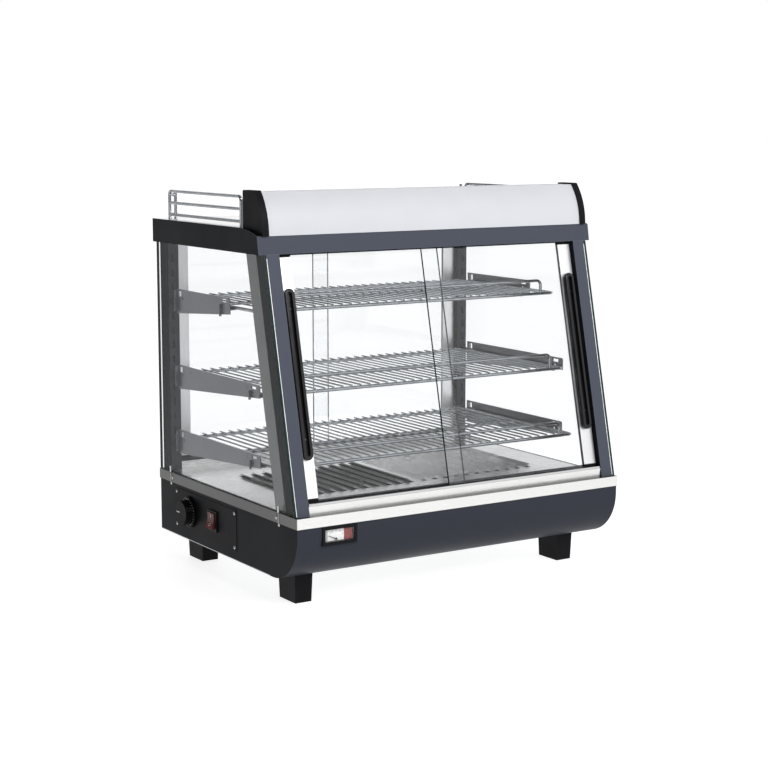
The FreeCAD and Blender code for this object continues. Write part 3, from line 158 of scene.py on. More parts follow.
def powder_coat(name, colour, edge_wear_and_highlight, metallic=0.05, roughness=0.40, side_shade=1.0, lean_light=1.0):
    """Satin metallic paint: fine orange peel, faint flake, and edges tinted lighter for wear and as a
    painted edge highlight.  Faces to the side get painted shade, and faces that lean back get painted
    light, so they are darker or lighter than the rest."""
    shader = Shader(name)
    flake = shader.noise(5200, 1.0)
    cloud = shader.noise(9, 3.0)
    base = shader.tint(shader.remap(flake, 0.0, 1.0, 0.35, 0.7), colour, shade(colour, 1.45))
    # Edges tinted lighter: edge wear, and a painted edge highlight.
    base = shader.tint(shader.maths("MULTIPLY", shader.edges(0.9 * MM), 0.55), base, edge_wear_and_highlight)
    turned = shader.turned()
    side_shade_mask = shader.maths("ABSOLUTE", turned["X"])
    # Painted shade: faces to the side are darkened.
    base = shader.tint(shader.remap(side_shade_mask, 0.0, 1.0, 0.7, 1.0), base, shader.scaled(base, side_shade))
    # Painted light: faces that lean back, up towards the light, are lightened.
    lean = shader.remap(turned["Z"], 0.0, 1.0, 0.06, 0.2)
    base = shader.tint(lean, base, shader.scaled(base, lean_light))
    gloss = shader.spread(cloud, roughness - 0.05, roughness + 0.07)
    peel = shader.noise(900, 2.0)
    return shader.surface(Base_Color=base, Roughness=gloss, Metallic=metallic,
                          Normal=shader.bump(peel, 0.10, 0.3 * MM), Specular_IOR_Level=0.05)


BRUSHING = {"X": (3, 260, 260), "Y": (260, 3, 260), "Z": (260, 260, 3)}


def brushed_steel(name, colour, grain, roughness=0.27, side_shade=1.0, top_shade=1.0, contrast=0.80,
                  relief=0.05, rim_highlight=0.0):
    """Metal sheet brushed along one axis, with faint cloudy handling marks.  Side faces and top faces
    can be painted duller or brighter than the rest, painted shade where duller and painted light where
    brighter, and outer edges can be painted bright as a painted highlight."""
    shader = Shader(name)
    lines = shader.noise(11, 4.0, BRUSHING[grain], 0.7)
    smudge = shader.noise(14, 4.0)
    base = shader.tint(shader.spread(lines, 0.0, 1.0), shade(colour, contrast), colour)
    turned = shader.turned()
    # Painted shade on side faces.
    side_shade_mask = shader.maths("ABSOLUTE", turned["X"])
    base = shader.tint(shader.remap(side_shade_mask, 0.0, 1.0, 0.6, 0.9), base, shader.scaled(base, side_shade))
    # Painted shade on top faces.
    above = shader.remap(turned["Z"], 0.0, 1.0, 0.6, 0.9)
    base = shader.tint(above, base, shader.scaled(base, top_shade))
    # Painted highlight on outer edges.
    if rim_highlight:
        rim_highlight_mask = shader.maths("MULTIPLY", shader.edges(0.8 * MM), rim_highlight)
        base = shader.tint(rim_highlight_mask, base, (0.95, 0.95, 0.95))
    gloss = shader.maths("ADD", shader.spread(lines, roughness - 0.06, roughness + 0.06),
                         shader.spread(smudge, -0.03, 0.05))
    return shader.surface(Base_Color=base, Roughness=gloss, Metallic=1.0,
                          Normal=shader.bump(lines, relief, 0.2 * MM))


def chrome_wire(name, colour, roughness=0.16):
    """Plated rod: drawn lines are too fine to see, so only gloss and plating tone vary."""
    shader = Shader(name)
    plating = shader.noise(60, 3.0)
    speck = shader.noise(1600, 2.0)
    base = shader.tint(shader.remap(plating, 0.0, 1.0, 0.35, 0.65), shade(colour, 0.78), colour)
    gloss = shader.spread(speck, roughness - 0.04, roughness + 0.08)
    return shader.surface(Base_Color=base, Roughness=gloss, Metallic=1.0,
                          Normal=shader.bump(speck, 0.04, 0.1 * MM))


def moulded(name, colour, roughness=0.45, grain_depth=0.12, emission=0.0, shine=0.5, dusty=1.25):
    """Moulded plastic with a fine spark-eroded grain and dusty variation in tone and gloss."""
    shader = Shader(name)
    grain = shader.noise(2600, 2.0)
    dust = shader.noise(22, 4.0)
    base = shader.tint(shader.remap(dust, 0.0, 1.0, 0.35, 0.7), colour, shade(colour, dusty))
    gloss = shader.spread(dust, roughness - 0.06, roughness + 0.08)
    return shader.surface(Base_Color=base, Roughness=gloss,
                          Normal=shader.bump(grain, grain_depth, 0.15 * MM),
                          Specular_IOR_Level=shine,
                          Emission_Color=WHITE, Emission_Strength=emission)


def clear_sheet(name, facing, tint, edge_colour, mirror=1.0):
    """Clear sheet seen through its faces and deeply coloured through its cut edges, apart from those
    that face the rear, which are left clear."""
    shader = Shader(name)
    smear = shader.noise(7, 4.0)
    normal = shader.node("ShaderNodeNewGeometry").outputs["Normal"]
    to_rear = shader.turned()["Y"]
    across = shader.maths("ABSOLUTE", shader.cosine(normal, facing))
    is_edge = shader.maths("MULTIPLY", shader.maths("LESS_THAN", across, 0.6),
                           shader.maths("LESS_THAN", to_rear, 0.5))
    through = shader.node("ShaderNodeBsdfTransparent", Color=(*tint, 1))
    gloss = shader.node("ShaderNodeBsdfGlossy", Color=WHITE,
                        Roughness=shader.spread(smear, 0.01, 0.05))
    grazing = shader.node("ShaderNodeLayerWeight", Blend=0.5).outputs["Facing"]
    glint = shader.maths("POWER", grazing, 5.0)
    sheen = shader.blend(shader.remap(glint, 0.045 * mirror, mirror), through, gloss)
    depth = shader.noise(40, 3.0, (1, 1, 0.2))
    cut = shader.node("ShaderNodeBsdfPrincipled",
                      Base_Color=shader.tint(depth, edge_colour, shade(edge_colour, 1.5)),
                      Roughness=shader.spread(depth, 0.15, 0.30), Specular_IOR_Level=0.1)
    both = shader.blend(is_edge, sheen, cut)
    shader.tree.links.new(both.outputs[0], shader.output.inputs["Surface"])
    return shader.material


def printed(name, colour, roughness=0.5):
    """Printed or painted marking with slight ink variation."""
    shader = Shader(name)
    ink = shader.noise(700, 2.0)
    base = shader.tint(ink, colour, shade(colour, 0.86))
    gloss = shader.spread(ink, roughness - 0.05, roughness + 0.05)
    return shader.surface(Base_Color=base, Roughness=gloss)


def red_lens(name):
    """Translucent red switch cap: light scatters in it and its face is glossy."""
    shader = Shader(name)
    depth = shader.noise(180, 3.0)
    base = shader.tint(depth, (0.055, 0.008, 0.009), (0.12, 0.026, 0.028))
    return shader.surface(Base_Color=base, Roughness=shader.spread(depth, 0.18, 0.28),
                          Specular_IOR_Level=0.2, Subsurface_Weight=0.2)


# ---------------------------------------------------------------- finishes of the CAD nodes

FRONT_RUN = 94.0
FRONT_RISE = 416.9
SLOPE = math.atan2(FRONT_RUN, FRONT_RISE)
FRONT_FACING = (0.0, -math.cos(SLOPE), math.sin(SLOPE))
CHARCOAL = (0.022, 0.0245, 0.032)
# Lighter charcoal for edges: edge wear, and a painted edge highlight.
CHARCOAL_EDGE_WEAR_AND_HIGHLIGHT = (0.10, 0.105, 0.12)
STEEL = (0.74, 0.74, 0.73)
GLASS_TINT = (0.976, 0.980, 0.983)
GLASS_EDGE = (0.008, 0.018, 0.015)

# Painted shade on side faces and painted light on faces that lean back.
paint = powder_coat("charcoal_paint", CHARCOAL, CHARCOAL_EDGE_WEAR_AND_HIGHLIGHT, side_shade=0.25, lean_light=2.15)
black = moulded("black_moulding", (0.005, 0.005, 0.006), 0.42, shine=0.06)
# Trims and sills: side faces and top faces darkened, painted shade.
steel_x = brushed_steel("stainless_along_width", STEEL, "X", 0.27, side_shade=0.16, top_shade=0.05,
                        contrast=0.90)
# Much darker copy of the stainless for the upright strips on the side: painted shade.
steel_z_shaded = brushed_steel("stainless_upright_shaded", (0.15, 0.15, 0.15), "Z", 0.34)
chrome = chrome_wire("chromed_wire", (0.38, 0.405, 0.43), 0.12)
front_glass = clear_sheet("front_glass", FRONT_FACING, GLASS_TINT, GLASS_EDGE, 0.6)
rear_glass = clear_sheet("rear_glass", (0, 1, 0), GLASS_TINT, GLASS_EDGE, 0.6)
side_glass = clear_sheet("side_glass", (1, 0, 0), GLASS_TINT, GLASS_EDGE, 0.3)

FINISHES = [
    (paint, ["side_panel_left", "side_panel_right", "front_fascia", "rear_panel",
             "post_front_left", "post_front_right", "post_rear_left", "post_rear_right",
             "top_frame"]),
    (steel_x, ["trim_front", "trim_rear", "front_sill", "rear_sill"]),
    # Much darker copy of the stainless for the side trims: painted shade.
    (brushed_steel("stainless_along_depth_shaded", (0.13, 0.13, 0.13), "Y", 0.36), ["trim_sides"]),
    # Floor pan: outer edges painted bright, a painted highlight.
    (brushed_steel("stainless_floor", (0.52, 0.52, 0.52), "X", 0.26, contrast=0.94, relief=0.01,
                   rim_highlight=0.8), ["floor_pan"]),
    # Lighter copy of the stainless for the roof: a painted reflection of the bright room.
    (brushed_steel("stainless_roof_lit", (0.96, 0.96, 0.96), "X", 0.34), ["roof_plate"]),
    (steel_z_shaded, ["side_strips"]),
    (brushed_steel("galvanised_sheet", (0.55, 0.56, 0.57), "X", 0.42),
     ["bottom_plate", "hood_back"]),
    (chrome, ["guard_rail_left", "guard_rail_right", "shelf_top", "shelf_middle",
              "shelf_bottom"]),
    (brushed_steel("zinc_plate", (0.155, 0.16, 0.175), "Y", 0.32), ["shelf_brackets"]),
    (brushed_steel("plain_steel", (0.50, 0.50, 0.50), "X", 0.30),
     ["thermostat_spindle", "heating_elements"]),
    (black, ["foot_front_left", "foot_front_right", "foot_rear_left", "foot_rear_right",
             "hood_end_cap_left", "hood_end_cap_right", "front_tracks", "rear_tracks",
             "cord_inlet"]),
    (moulded("grip_moulding", (0.006, 0.006, 0.007), 0.17, 0.05, shine=0.3),
     ["door_front_left_grip", "door_front_right_grip"]),
    (moulded("knob_moulding", (0.002, 0.002, 0.002), 0.35, 0.05, shine=0.05),
     ["thermostat_knob"]),
    (moulded("switch_case", (0.005, 0.005, 0.006), 0.30, shine=0.08),
     ["rocker_housing", "thermometer_case"]),
    (powder_coat("control_plate", (0.018, 0.019, 0.024), CHARCOAL_EDGE_WEAR_AND_HIGHLIGHT, side_shade=0.25),
     ["control_panel"]),
    (moulded("pale_moulding", (0.70, 0.69, 0.65), 0.5), ["thermostat_body", "terminal_block"]),
    (red_lens("red_switch_cap"), ["rocker_paddle"]),
    (printed("needle_black", (0.012, 0.012, 0.012)), ["thermometer_pointer"]),
    (clear_sheet("clear_lens", (0, 1, 0), (0.97, 0.97, 0.97), (0.6, 0.62, 0.62), 0.6),
     ["thermometer_lens"]),
    (side_glass, ["side_glass_left", "side_glass_right"]),
    (front_glass, ["door_front_left_glass", "door_front_right_glass"]),
    (rear_glass, ["door_rear_left_glass", "door_rear_right_glass"]),
    (moulded("opal_diffuser", (0.455, 0.465, 0.487), 0.34, 0.03, shine=0.25, dusty=1.02),
     ["hood_diffuser"]),
    (moulded("lamp_white", (0.92, 0.92, 0.90), 0.25, 0.02, emission=0.3), ["hood_lamp"]),
    (brushed_steel("anodised_profile", (0.80, 0.80, 0.81), "Z", 0.34),
     ["door_front_left_stile", "door_front_right_stile", "door_rear_left_stile",
      "door_rear_right_stile"]),
]

for finish, node_names in FINISHES:
    for node_name in node_names:
        node_mesh = NODES[node_name].data
        node_mesh.materials.clear()
        node_mesh.materials.append(finish)


# ---------------------------------------------------------------- building pieces

SHARP_ANGLE = math.radians(35)
JOINED = 1e-6


def piece(name, mesh, material, body, smooth=True):
    """A mesh as an object that rides on a body."""
    data = bpy.data.meshes.new(name)
    mesh.to_mesh(data)
    mesh.free()
    data.materials.append(material)
    for polygon in data.polygons:
        polygon.use_smooth = smooth
    thing = bpy.data.objects.new(name, data)
    bpy.context.scene.collection.objects.link(thing)
    if smooth:
        data.set_sharp_from_angle(angle=SHARP_ANGLE)
    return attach(thing, body)


def soft_box(mesh, low, high, bevel, turn=None, segments=3):
    """Adds a box with rounded edges, between two corners in mm, turned about its own middle."""
    low, high = Vector(low), Vector(high)
    made = bmesh.ops.create_cube(mesh, size=1.0)["verts"]
    scale = Matrix.Diagonal((*(high - low), 1.0))
    place = Matrix.Translation((low + high) / 2) @ (turn or Matrix.Identity(4)) @ scale
    bmesh.ops.transform(mesh, matrix=place, verts=made)
    edges = list({edge for vert in made for edge in vert.link_edges})
    bmesh.ops.bevel(mesh, geom=edges, offset=bevel, segments=segments, affect="EDGES",
                    profile=0.5)


def finish_piece(name, mesh, material, body, smooth=True):
    """Turns a mesh drawn in mm into a piece in metres."""
    bmesh.ops.scale(mesh, vec=(MM, MM, MM), verts=mesh.verts)
    bmesh.ops.recalc_face_normals(mesh, faces=mesh.faces)
    return piece(name, mesh, material, body, smooth)


def lathe(mesh, profile, place, steps=40):
    """Turns a profile of (along, radius) about the local X axis, then puts it in place."""
    rings = []
    for along, radius in profile:
        if radius == 0:
            rings.append([mesh.verts.new(place @ Vector((along, 0, 0)))])
            continue
        angles = [math.tau * step / steps for step in range(steps)]
        points = [(along, radius * math.cos(angle), radius * math.sin(angle)) for angle in angles]
        rings.append([mesh.verts.new(place @ Vector(point)) for point in points])
    for first, second in zip(rings, rings[1:]):
        for step in range(steps):
            corners = [first[step % len(first)], first[(step + 1) % len(first)],
                       second[(step + 1) % len(second)], second[step % len(second)]]
            unique = list(dict.fromkeys(corners))
            if len(unique) > 2:
                mesh.faces.new(unique)


def islands(node_name):
    """Boxes of a node's separate solids, as pairs of corners in mm."""
    mesh = bmesh.new()
    mesh.from_mesh(NODES[node_name].data)
    bmesh.ops.remove_doubles(mesh, verts=mesh.verts, dist=JOINED)
    unseen, boxes = set(mesh.verts), []
    while unseen:
        group, queue = [], [unseen.pop()]
        while queue:
            vert = queue.pop()
            group.append(vert.co.copy() / MM)
            for edge in vert.link_edges:
                other = edge.other_vert(vert)
                if other in unseen:
                    unseen.discard(other)
                    queue.append(other)
        boxes.append((Vector(map(min, zip(*group))), Vector(map(max, zip(*group)))))
    mesh.free()
    return sorted(boxes, key=lambda box: tuple(round(value, 2) for value in box[0]))


def corners_mm(node_name):
    low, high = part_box(node_name)
    return low / MM, high / MM


# ---------------------------------------------------------------- screws

# A full-size head in mm, as (along, radius), its cross recess, and the scales of smaller or larger ones.
PAN_HEAD = [(0.0, 0.0), (0.0, 3.9), (0.55, 3.9), (1.05, 3.6), (1.6, 2.8), (1.95, 1.7), (2.1, 0.0)]
HEAD_HEIGHT = 2.145
SAME_FACE = 0.5
CROSS_REACH = 2.0
CROSS_WIDTH = 0.72
CROSS_TOP = 2.14
CROSS_DEPTH = 0.8
CROSS_SUNK = 0.35
CROSS_TURN = math.radians(20)
PLATE_HEAD = 0.8
GRIP_HEAD = 0.72
FOOT_HEAD = 1.3

screw_steel = brushed_steel("screw_steel", (0.55, 0.55, 0.54), "Y", 0.26)
screw_black = moulded("screw_black", (0.02, 0.02, 0.022), 0.32)
# Near-black ink: painted shadow in the screws' cross recesses, and the dark seam lines.
recess_dark = printed("recess_shadow", (0.006, 0.006, 0.006), 0.7)


def cross_screw(mesh, dark, place, scale=1.0):
    """Pan head with a cross recess, drawn outward along the local X axis.  The recess is dark boxes on
    the head: painted shadow.
    """
    lathe(mesh, [(along * scale, radius * scale) for along, radius in PAN_HEAD], place)
    slot_size = (CROSS_DEPTH, 2 * CROSS_REACH * scale, CROSS_WIDTH * scale, 1)
    shape = (Matrix.Translation((CROSS_TOP * scale - CROSS_SUNK, 0, 0))
             @ Matrix.Diagonal(slot_size))
    for turn in (0.0, math.pi / 2):
        spin = Matrix.Rotation(turn + CROSS_TURN, 4, "X")
        made = bmesh.ops.create_cube(dark, size=1.0)["verts"]
        bmesh.ops.transform(dark, matrix=place @ spin @ shape, verts=made)


def outward(x, y, z, sign):
    """Frame at a point, with its local X axis pointing out along +X or -X."""
    turn = Matrix.Identity(4) if sign > 0 else Matrix.Rotation(math.pi, 4, "Z")
    return Matrix.Translation((x, y, z)) @ turn


def case_screws():
    """Screws of the trim seams, and the smaller ones of the control plate."""
    plate_x = corners_mm("control_panel")[0].x
    bright, small, recess = bmesh.new(), bmesh.new(), bmesh.new()
    for low, high in islands("machine_screws"):
        sign = 1 if low.x > 0 else -1
        middle = (low + high) / 2
        seat = (high.x if sign > 0 else low.x) - sign * HEAD_HEIGHT
        on_plate = sign < 0 and abs(seat - plate_x) < SAME_FACE
        cross_screw(small if on_plate else bright, recess,
                    outward(seat, middle.y, middle.z, sign), PLATE_HEAD if on_plate else 1.0)
    screws = finish_piece("seam_screws", bright, screw_steel, ROOT)
    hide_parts("machine_screws")
    finish_piece("plate_screws", small, screw_steel, ROOT)
    finish_piece("screw_recesses", recess, recess_dark, ROOT, False)


case_screws()


# ---------------------------------------------------------------- thermostat knob

# In mm, from the knob's own box; a tick is (inner radius, half width).
RIB_COUNT = 28
RIB_RADIUS = 20.9
RIB_HALF = Vector((4.6, 0.75, 0.9))
RIB_FORWARD = 2.2
POINTER_PROUD = 0.15
POINTER_SUNK = 0.5
POINTER_START = 6.5
POINTER_END = 18.2
POINTER_HALF = 0.9
KNOB_TICKS = 25
TICKS_PER_LONG = 4
TICK_SWEEP = math.radians(300)
TICK_OUTER = 25.1
TICK_HALF_DEPTH = 0.35
LONG_TICK = (22.9, 0.45)
SHORT_TICK = (23.8, 0.3)
SKIRT_FACE = 4.15

ink_white = printed("ink_white", (0.80, 0.80, 0.79))


def knob_ribs():
    """Finger ribs round the knob's grip."""
    low, high = corners_mm("thermostat_knob")
    axis = (low + high) / 2
    ribs = bmesh.new()
    for index in range(RIB_COUNT):
        turn = Matrix.Rotation(math.tau * index / RIB_COUNT, 4, "X")
        centre = turn @ Vector((0, 0, RIB_RADIUS)) + axis - Vector((RIB_FORWARD, 0, 0))
        soft_box(ribs, centre - RIB_HALF, centre + RIB_HALF, 0.5, turn, 2)
    finish_piece("knob_ribs", ribs, NODES["thermostat_knob"].data.materials[0],
                         "thermostat_control")


def knob_markings():
    """Pointer on the knob's face and a scale of ticks round its skirt."""
    low, high = corners_mm("thermostat_knob")
    axis = (low + high) / 2
    marks = bmesh.new()
    soft_box(marks, (low.x - POINTER_PROUD, axis.y + POINTER_START, axis.z - POINTER_HALF),
             (low.x + POINTER_SUNK, axis.y + POINTER_END, axis.z + POINTER_HALF), 0.12)
    for index in range(KNOB_TICKS):
        inner, half_width = LONG_TICK if index % TICKS_PER_LONG == 0 else SHORT_TICK
        turn = Matrix.Rotation((index / (KNOB_TICKS - 1) - 0.5) * TICK_SWEEP, 4, "X")
        middle = Vector((0, 0, (inner + TICK_OUTER) / 2))
        centre = turn @ middle + Vector((high.x - SKIRT_FACE, axis.y, axis.z))
        half = Vector((TICK_HALF_DEPTH, half_width, (TICK_OUTER - inner) / 2))
        soft_box(marks, centre - half, centre + half, 0.08, turn, 1)
    finish_piece("knob_markings", marks, ink_white, "thermostat_control")


knob_ribs()
knob_markings()


# ---------------------------------------------------------------- rocker switch marks

# In mm, in the rocker's own frame apart from the pivot.
ROCKER_PIVOT = (-329.5, 42.0, 104.8)
ROCKER_TILT = math.radians(9)
ROCKER_FACE = -6.56
ROCKER_DISH = 46.0
MARK_HEIGHT = 7.6
INK_SUNK = 0.3
INK_PROUD = 0.12
BAR_HALF_WIDTH = 0.55
BAR_HALF_LENGTH = 2.6
RING_STEPS = 28
RING_RADIUS = 2.4
RING_WIDTH = 0.5
RING_OVERLAP = 0.12
RING_DEPTH = 0.06
RING_HALF_DEPTH = 0.2


def on_rocker(height):
    """Frame on the rocker's dished face, that far above its middle, with -X pointing out."""
    hollow = ROCKER_DISH - math.sqrt(ROCKER_DISH ** 2 - height ** 2)
    return (Matrix.Translation(ROCKER_PIVOT) @ Matrix.Rotation(ROCKER_TILT, 4, "Y")
            @ Matrix.Translation((ROCKER_FACE - hollow, 0, height))
            @ Matrix.Rotation(-math.asin(height / ROCKER_DISH), 4, "Y"))


def rocker_marks():
    """The usual bar and ring, printed on the two halves of the rocker's face."""
    bar, ring = bmesh.new(), bmesh.new()
    soft_box(bar, (-INK_PROUD, -BAR_HALF_WIDTH, -BAR_HALF_LENGTH),
             (INK_SUNK, BAR_HALF_WIDTH, BAR_HALF_LENGTH), 0.08)
    bmesh.ops.transform(bar, matrix=on_rocker(MARK_HEIGHT), verts=bar.verts)
    half_step = RING_RADIUS * math.tan(math.pi / RING_STEPS) + RING_OVERLAP
    half = Vector((RING_HALF_DEPTH, half_step, RING_WIDTH / 2))
    for step in range(RING_STEPS):
        turn = Matrix.Rotation(math.tau * step / RING_STEPS, 4, "X")
        centre = turn @ Vector((RING_DEPTH, 0, RING_RADIUS))
        soft_box(ring, centre - half, centre + half, 0.05, turn, 1)
    bmesh.ops.transform(ring, matrix=on_rocker(-MARK_HEIGHT), verts=ring.verts)
    for name, mesh in (("rocker_bar", bar), ("rocker_ring", ring)):
        finish_piece(name, mesh, ink_white, "power_switch")


rocker_marks()


# ---------------------------------------------------------------- thermometer dial

# In mm; a tick is (inner radius, half width), in degrees round the needle's pivot.
CARD_FRONT = 0.5
CARD_BACK = 0.02
CARD_RECESS = 7.0
CARD_GAP = 0.2
SCALE_START = -270.8
HOT_START = -240.0
NEEDLE_X = -255.0
NEEDLE_Z = 121.7
DIAL_TICKS = 17
DIAL_STEP = 8
DIAL_START = -64
DIAL_LONG_EVERY = 4
DIAL_OUTER = 15.8
DIAL_LONG = (12.6, 0.28)
DIAL_SHORT = (14.0, 0.18)
DIAL_HALF_DEPTH = 0.10

dial_white = printed("dial_white", (0.86, 0.86, 0.85))
dial_red = printed("dial_red", (0.22, 0.012, 0.012))
dial_grey = printed("dial_grey", (0.38, 0.38, 0.38))
ink_black = printed("ink_black", (0.02, 0.02, 0.02))


def thermometer_dial():
    """Printed card behind the needle: a grey margin, a white scale and a red zone, with ticks."""
    low, high = corners_mm("thermometer_lens")
    back = corners_mm("thermometer_case")[0].y + CARD_RECESS
    front = back - CARD_FRONT
    zones = [("dial_margin", dial_grey, low.x + CARD_GAP, SCALE_START),
             ("dial_scale", dial_white, SCALE_START, HOT_START),
             ("dial_hot_zone", dial_red, HOT_START, high.x - CARD_GAP)]
    for name, ink, start, stop in zones:
        zone = bmesh.new()
        soft_box(zone, (start, front, low.z + CARD_GAP),
                 (stop, back - CARD_BACK, high.z - CARD_GAP), 0.08, None, 1)
        finish_piece(name, zone, ink, ROOT)
    ticks = bmesh.new()
    for index in range(DIAL_TICKS):
        inner, half_width = DIAL_LONG if index % DIAL_LONG_EVERY == 0 else DIAL_SHORT
        turn = Matrix.Rotation(math.radians(DIAL_START + DIAL_STEP * index), 4, "Y")
        middle = Vector((0, 0, (inner + DIAL_OUTER) / 2))
        centre = turn @ middle + Vector((NEEDLE_X, front, NEEDLE_Z))
        half = Vector((half_width, DIAL_HALF_DEPTH, (DIAL_OUTER - inner) / 2))
        soft_box(ticks, centre - half, centre + half, 0.03, turn, 1)
    finish_piece("dial_ticks", ticks, ink_black, ROOT)


thermometer_dial()


# ---------------------------------------------------------------- door fittings

LEAN = Matrix.Rotation(-SLOPE, 4, "X")
DOORS = {
    "front_left_door": ("door_front_left_stile", True),
    "front_right_door": ("door_front_right_stile", True),
    "rear_left_door": ("door_rear_left_stile", False),
    "rear_right_door": ("door_rear_right_stile", False),
}
GRIPS = {
    "front_left_door": "door_front_left_grip",
    "front_right_door": "door_front_right_grip",
}
STILE_DEPTH = 6.9
CAP_HALF = Vector((13.2, STILE_DEPTH / 2 + 0.25, 3.2))
GRIP_SCREW_PLACES = (0.12, 0.88)
GROOVE_DEPTH = 5.3


def stile_caps():
    """Moulded guide caps at both ends of each door's edge profile."""
    for body, (stile, slanted) in DOORS.items():
        low, high = corners_mm(stile)
        top_face = high.y - STILE_DEPTH if slanted else low.y
        caps = bmesh.new()
        for level, y_face in ((low.z, low.y), (high.z, top_face)):
            centre = Vector(((low.x + high.x) / 2, y_face + STILE_DEPTH / 2, level))
            soft_box(caps, centre - CAP_HALF, centre + CAP_HALF, 0.7, LEAN if slanted else None)
        finish_piece(f"{stile}_caps", caps, black, body)


def grip_screws():
    """Two dark screws in the groove of each grip."""
    for body, grip in GRIPS.items():
        low, high = corners_mm(grip)
        heads, recess = bmesh.new(), bmesh.new()
        for share in GRIP_SCREW_PLACES:
            rise = (high.z - low.z) * share
            floor_y = low.y + rise * math.tan(SLOPE) + GROOVE_DEPTH
            place = (Matrix.Translation(((low.x + high.x) / 2, floor_y, low.z + rise)) @ LEAN
                     @ Matrix.Rotation(-math.pi / 2, 4, "Z"))
            cross_screw(heads, recess, place, GRIP_HEAD)
        finish_piece(f"{grip}_screws", heads, screw_black, body)
        finish_piece(f"{grip}_recesses", recess, recess_dark, body, False)


stile_caps()
grip_screws()


# ---------------------------------------------------------------- case fittings

FOOT_SCREW_Z = 32.0


def foot_screws():
    """Bright screws up inside the feet."""
    heads, recess = bmesh.new(), bmesh.new()
    for side in ("left", "right"):
        for end in ("front", "rear"):
            low, high = corners_mm(f"foot_{end}_{side}")
            centre = ((low.x + high.x) / 2, (low.y + high.y) / 2, FOOT_SCREW_Z)
            place = Matrix.Translation(centre) @ Matrix.Rotation(math.pi / 2, 4, "Y")
            cross_screw(heads, recess, place, FOOT_HEAD)
    finish_piece("foot_screws", heads, screw_steel, ROOT)
    finish_piece("foot_screw_recesses", recess, recess_dark, ROOT, False)


# Y of the trim's seams, and the clip, its band, the lock and the dark line at each, in mm.
SEAMS = (-194.0, 207.0)
CLIP_HALF = 0.7
HOOK_X, HOOK_WIDTH, HOOK_BASE, HOOK_TOP = 331.7, 2.6, 0.2, 12.0
BAND_X, BAND_WIDTH, BAND_GAP = 331.9, 1.3, 0.5
LOCK_X, LOCK_WIDTH, LOCK_GAP, LOCK_DROP = 330.3, 2.4, 0.3, 5.5
LINE_X, LINE_WIDTH, LINE_GAP = 332.0, 0.55, 0.2


def seam_clips():
    """Bright clips at the trim's seams that hold the lower edge of each side glass, with the dark
    line of each seam and the lock of the joint below it."""
    clips, lines = bmesh.new(), bmesh.new()
    bottom, top = (corner.z for corner in corners_mm("trim_sides"))
    steps = ((HOOK_X, top + HOOK_BASE, top + HOOK_TOP, HOOK_WIDTH),
             (BAND_X, bottom + BAND_GAP, top - BAND_GAP, BAND_WIDTH),
             (LOCK_X, bottom - LOCK_DROP, bottom - LOCK_GAP, LOCK_WIDTH))
    for side in (-1, 1):
        for seam in SEAMS:
            for x, low, high, wide in steps:
                soft_box(clips, (side * x - CLIP_HALF, seam - wide, low),
                         (side * x + CLIP_HALF, seam + wide, high), 0.6)
            soft_box(lines, (side * LINE_X - CLIP_HALF, seam - LINE_WIDTH, bottom + LINE_GAP),
                     (side * LINE_X + CLIP_HALF, seam + LINE_WIDTH, top - LINE_GAP), 0.1, None, 1)
    finish_piece("seam_clips", clips, screw_steel, ROOT)
    finish_piece("seam_lines", lines, recess_dark, ROOT, False)


TAPE_X = (326.04, 326.40)
TAPE_FRONT = 0.5
TAPE_REAR = 0.3

tape_dark = moulded("tape_dark", (0.016, 0.019, 0.021), 0.5, shine=0.05)


def glass_tapes():
    """Dark bonding tape between the side glass and the outer faces of the posts."""
    tapes = bmesh.new()
    front = corners_mm("post_front_left")
    rear = corners_mm("post_rear_left")
    low, high = (corner.z for corner in corners_mm("side_glass_left"))
    shift = (high - low) * math.tan(SLOPE)
    outlines = ((front[0].y, front[1].y - shift, shift), (rear[0].y, rear[1].y, 0.0))
    for side in (-1, 1):
        for near, far, lean in outlines:
            start, stop = near + TAPE_FRONT, far - TAPE_REAR
            ring = [(start, low), (stop, low), (stop + lean, high), (start + lean, high)]
            inner, outer = ([tapes.verts.new((side * x, y, z)) for y, z in ring] for x in TAPE_X)
            tapes.faces.new(inner)
            tapes.faces.new(outer)
            for index in range(4):
                following = (index + 1) % 4
                tapes.faces.new((inner[index], inner[following], outer[following], outer[index]))
    finish_piece("glass_tapes", tapes, tape_dark, ROOT, False)


GLASS_BEAD_X, GLASS_BEAD_Y = 326.0, 0.4
STRIP_BEAD_X, STRIP_BEAD_Y = 323.6, 0.6
BEAD_HALF = (0.75, 0.4)
BEAD_SHORT = 3.5
BEAD_DROP = 2.5
GASKET_X = (325.9, 331.3)
GASKET_FRONT = -243.0
GASKET_Z = (163.35, 164.5)

# Pale opaque beads: painted highlight lines along the glass and strip edges.
bead_highlight = moulded("bead_highlight", (0.72, 0.74, 0.74), 0.2, 0.02)


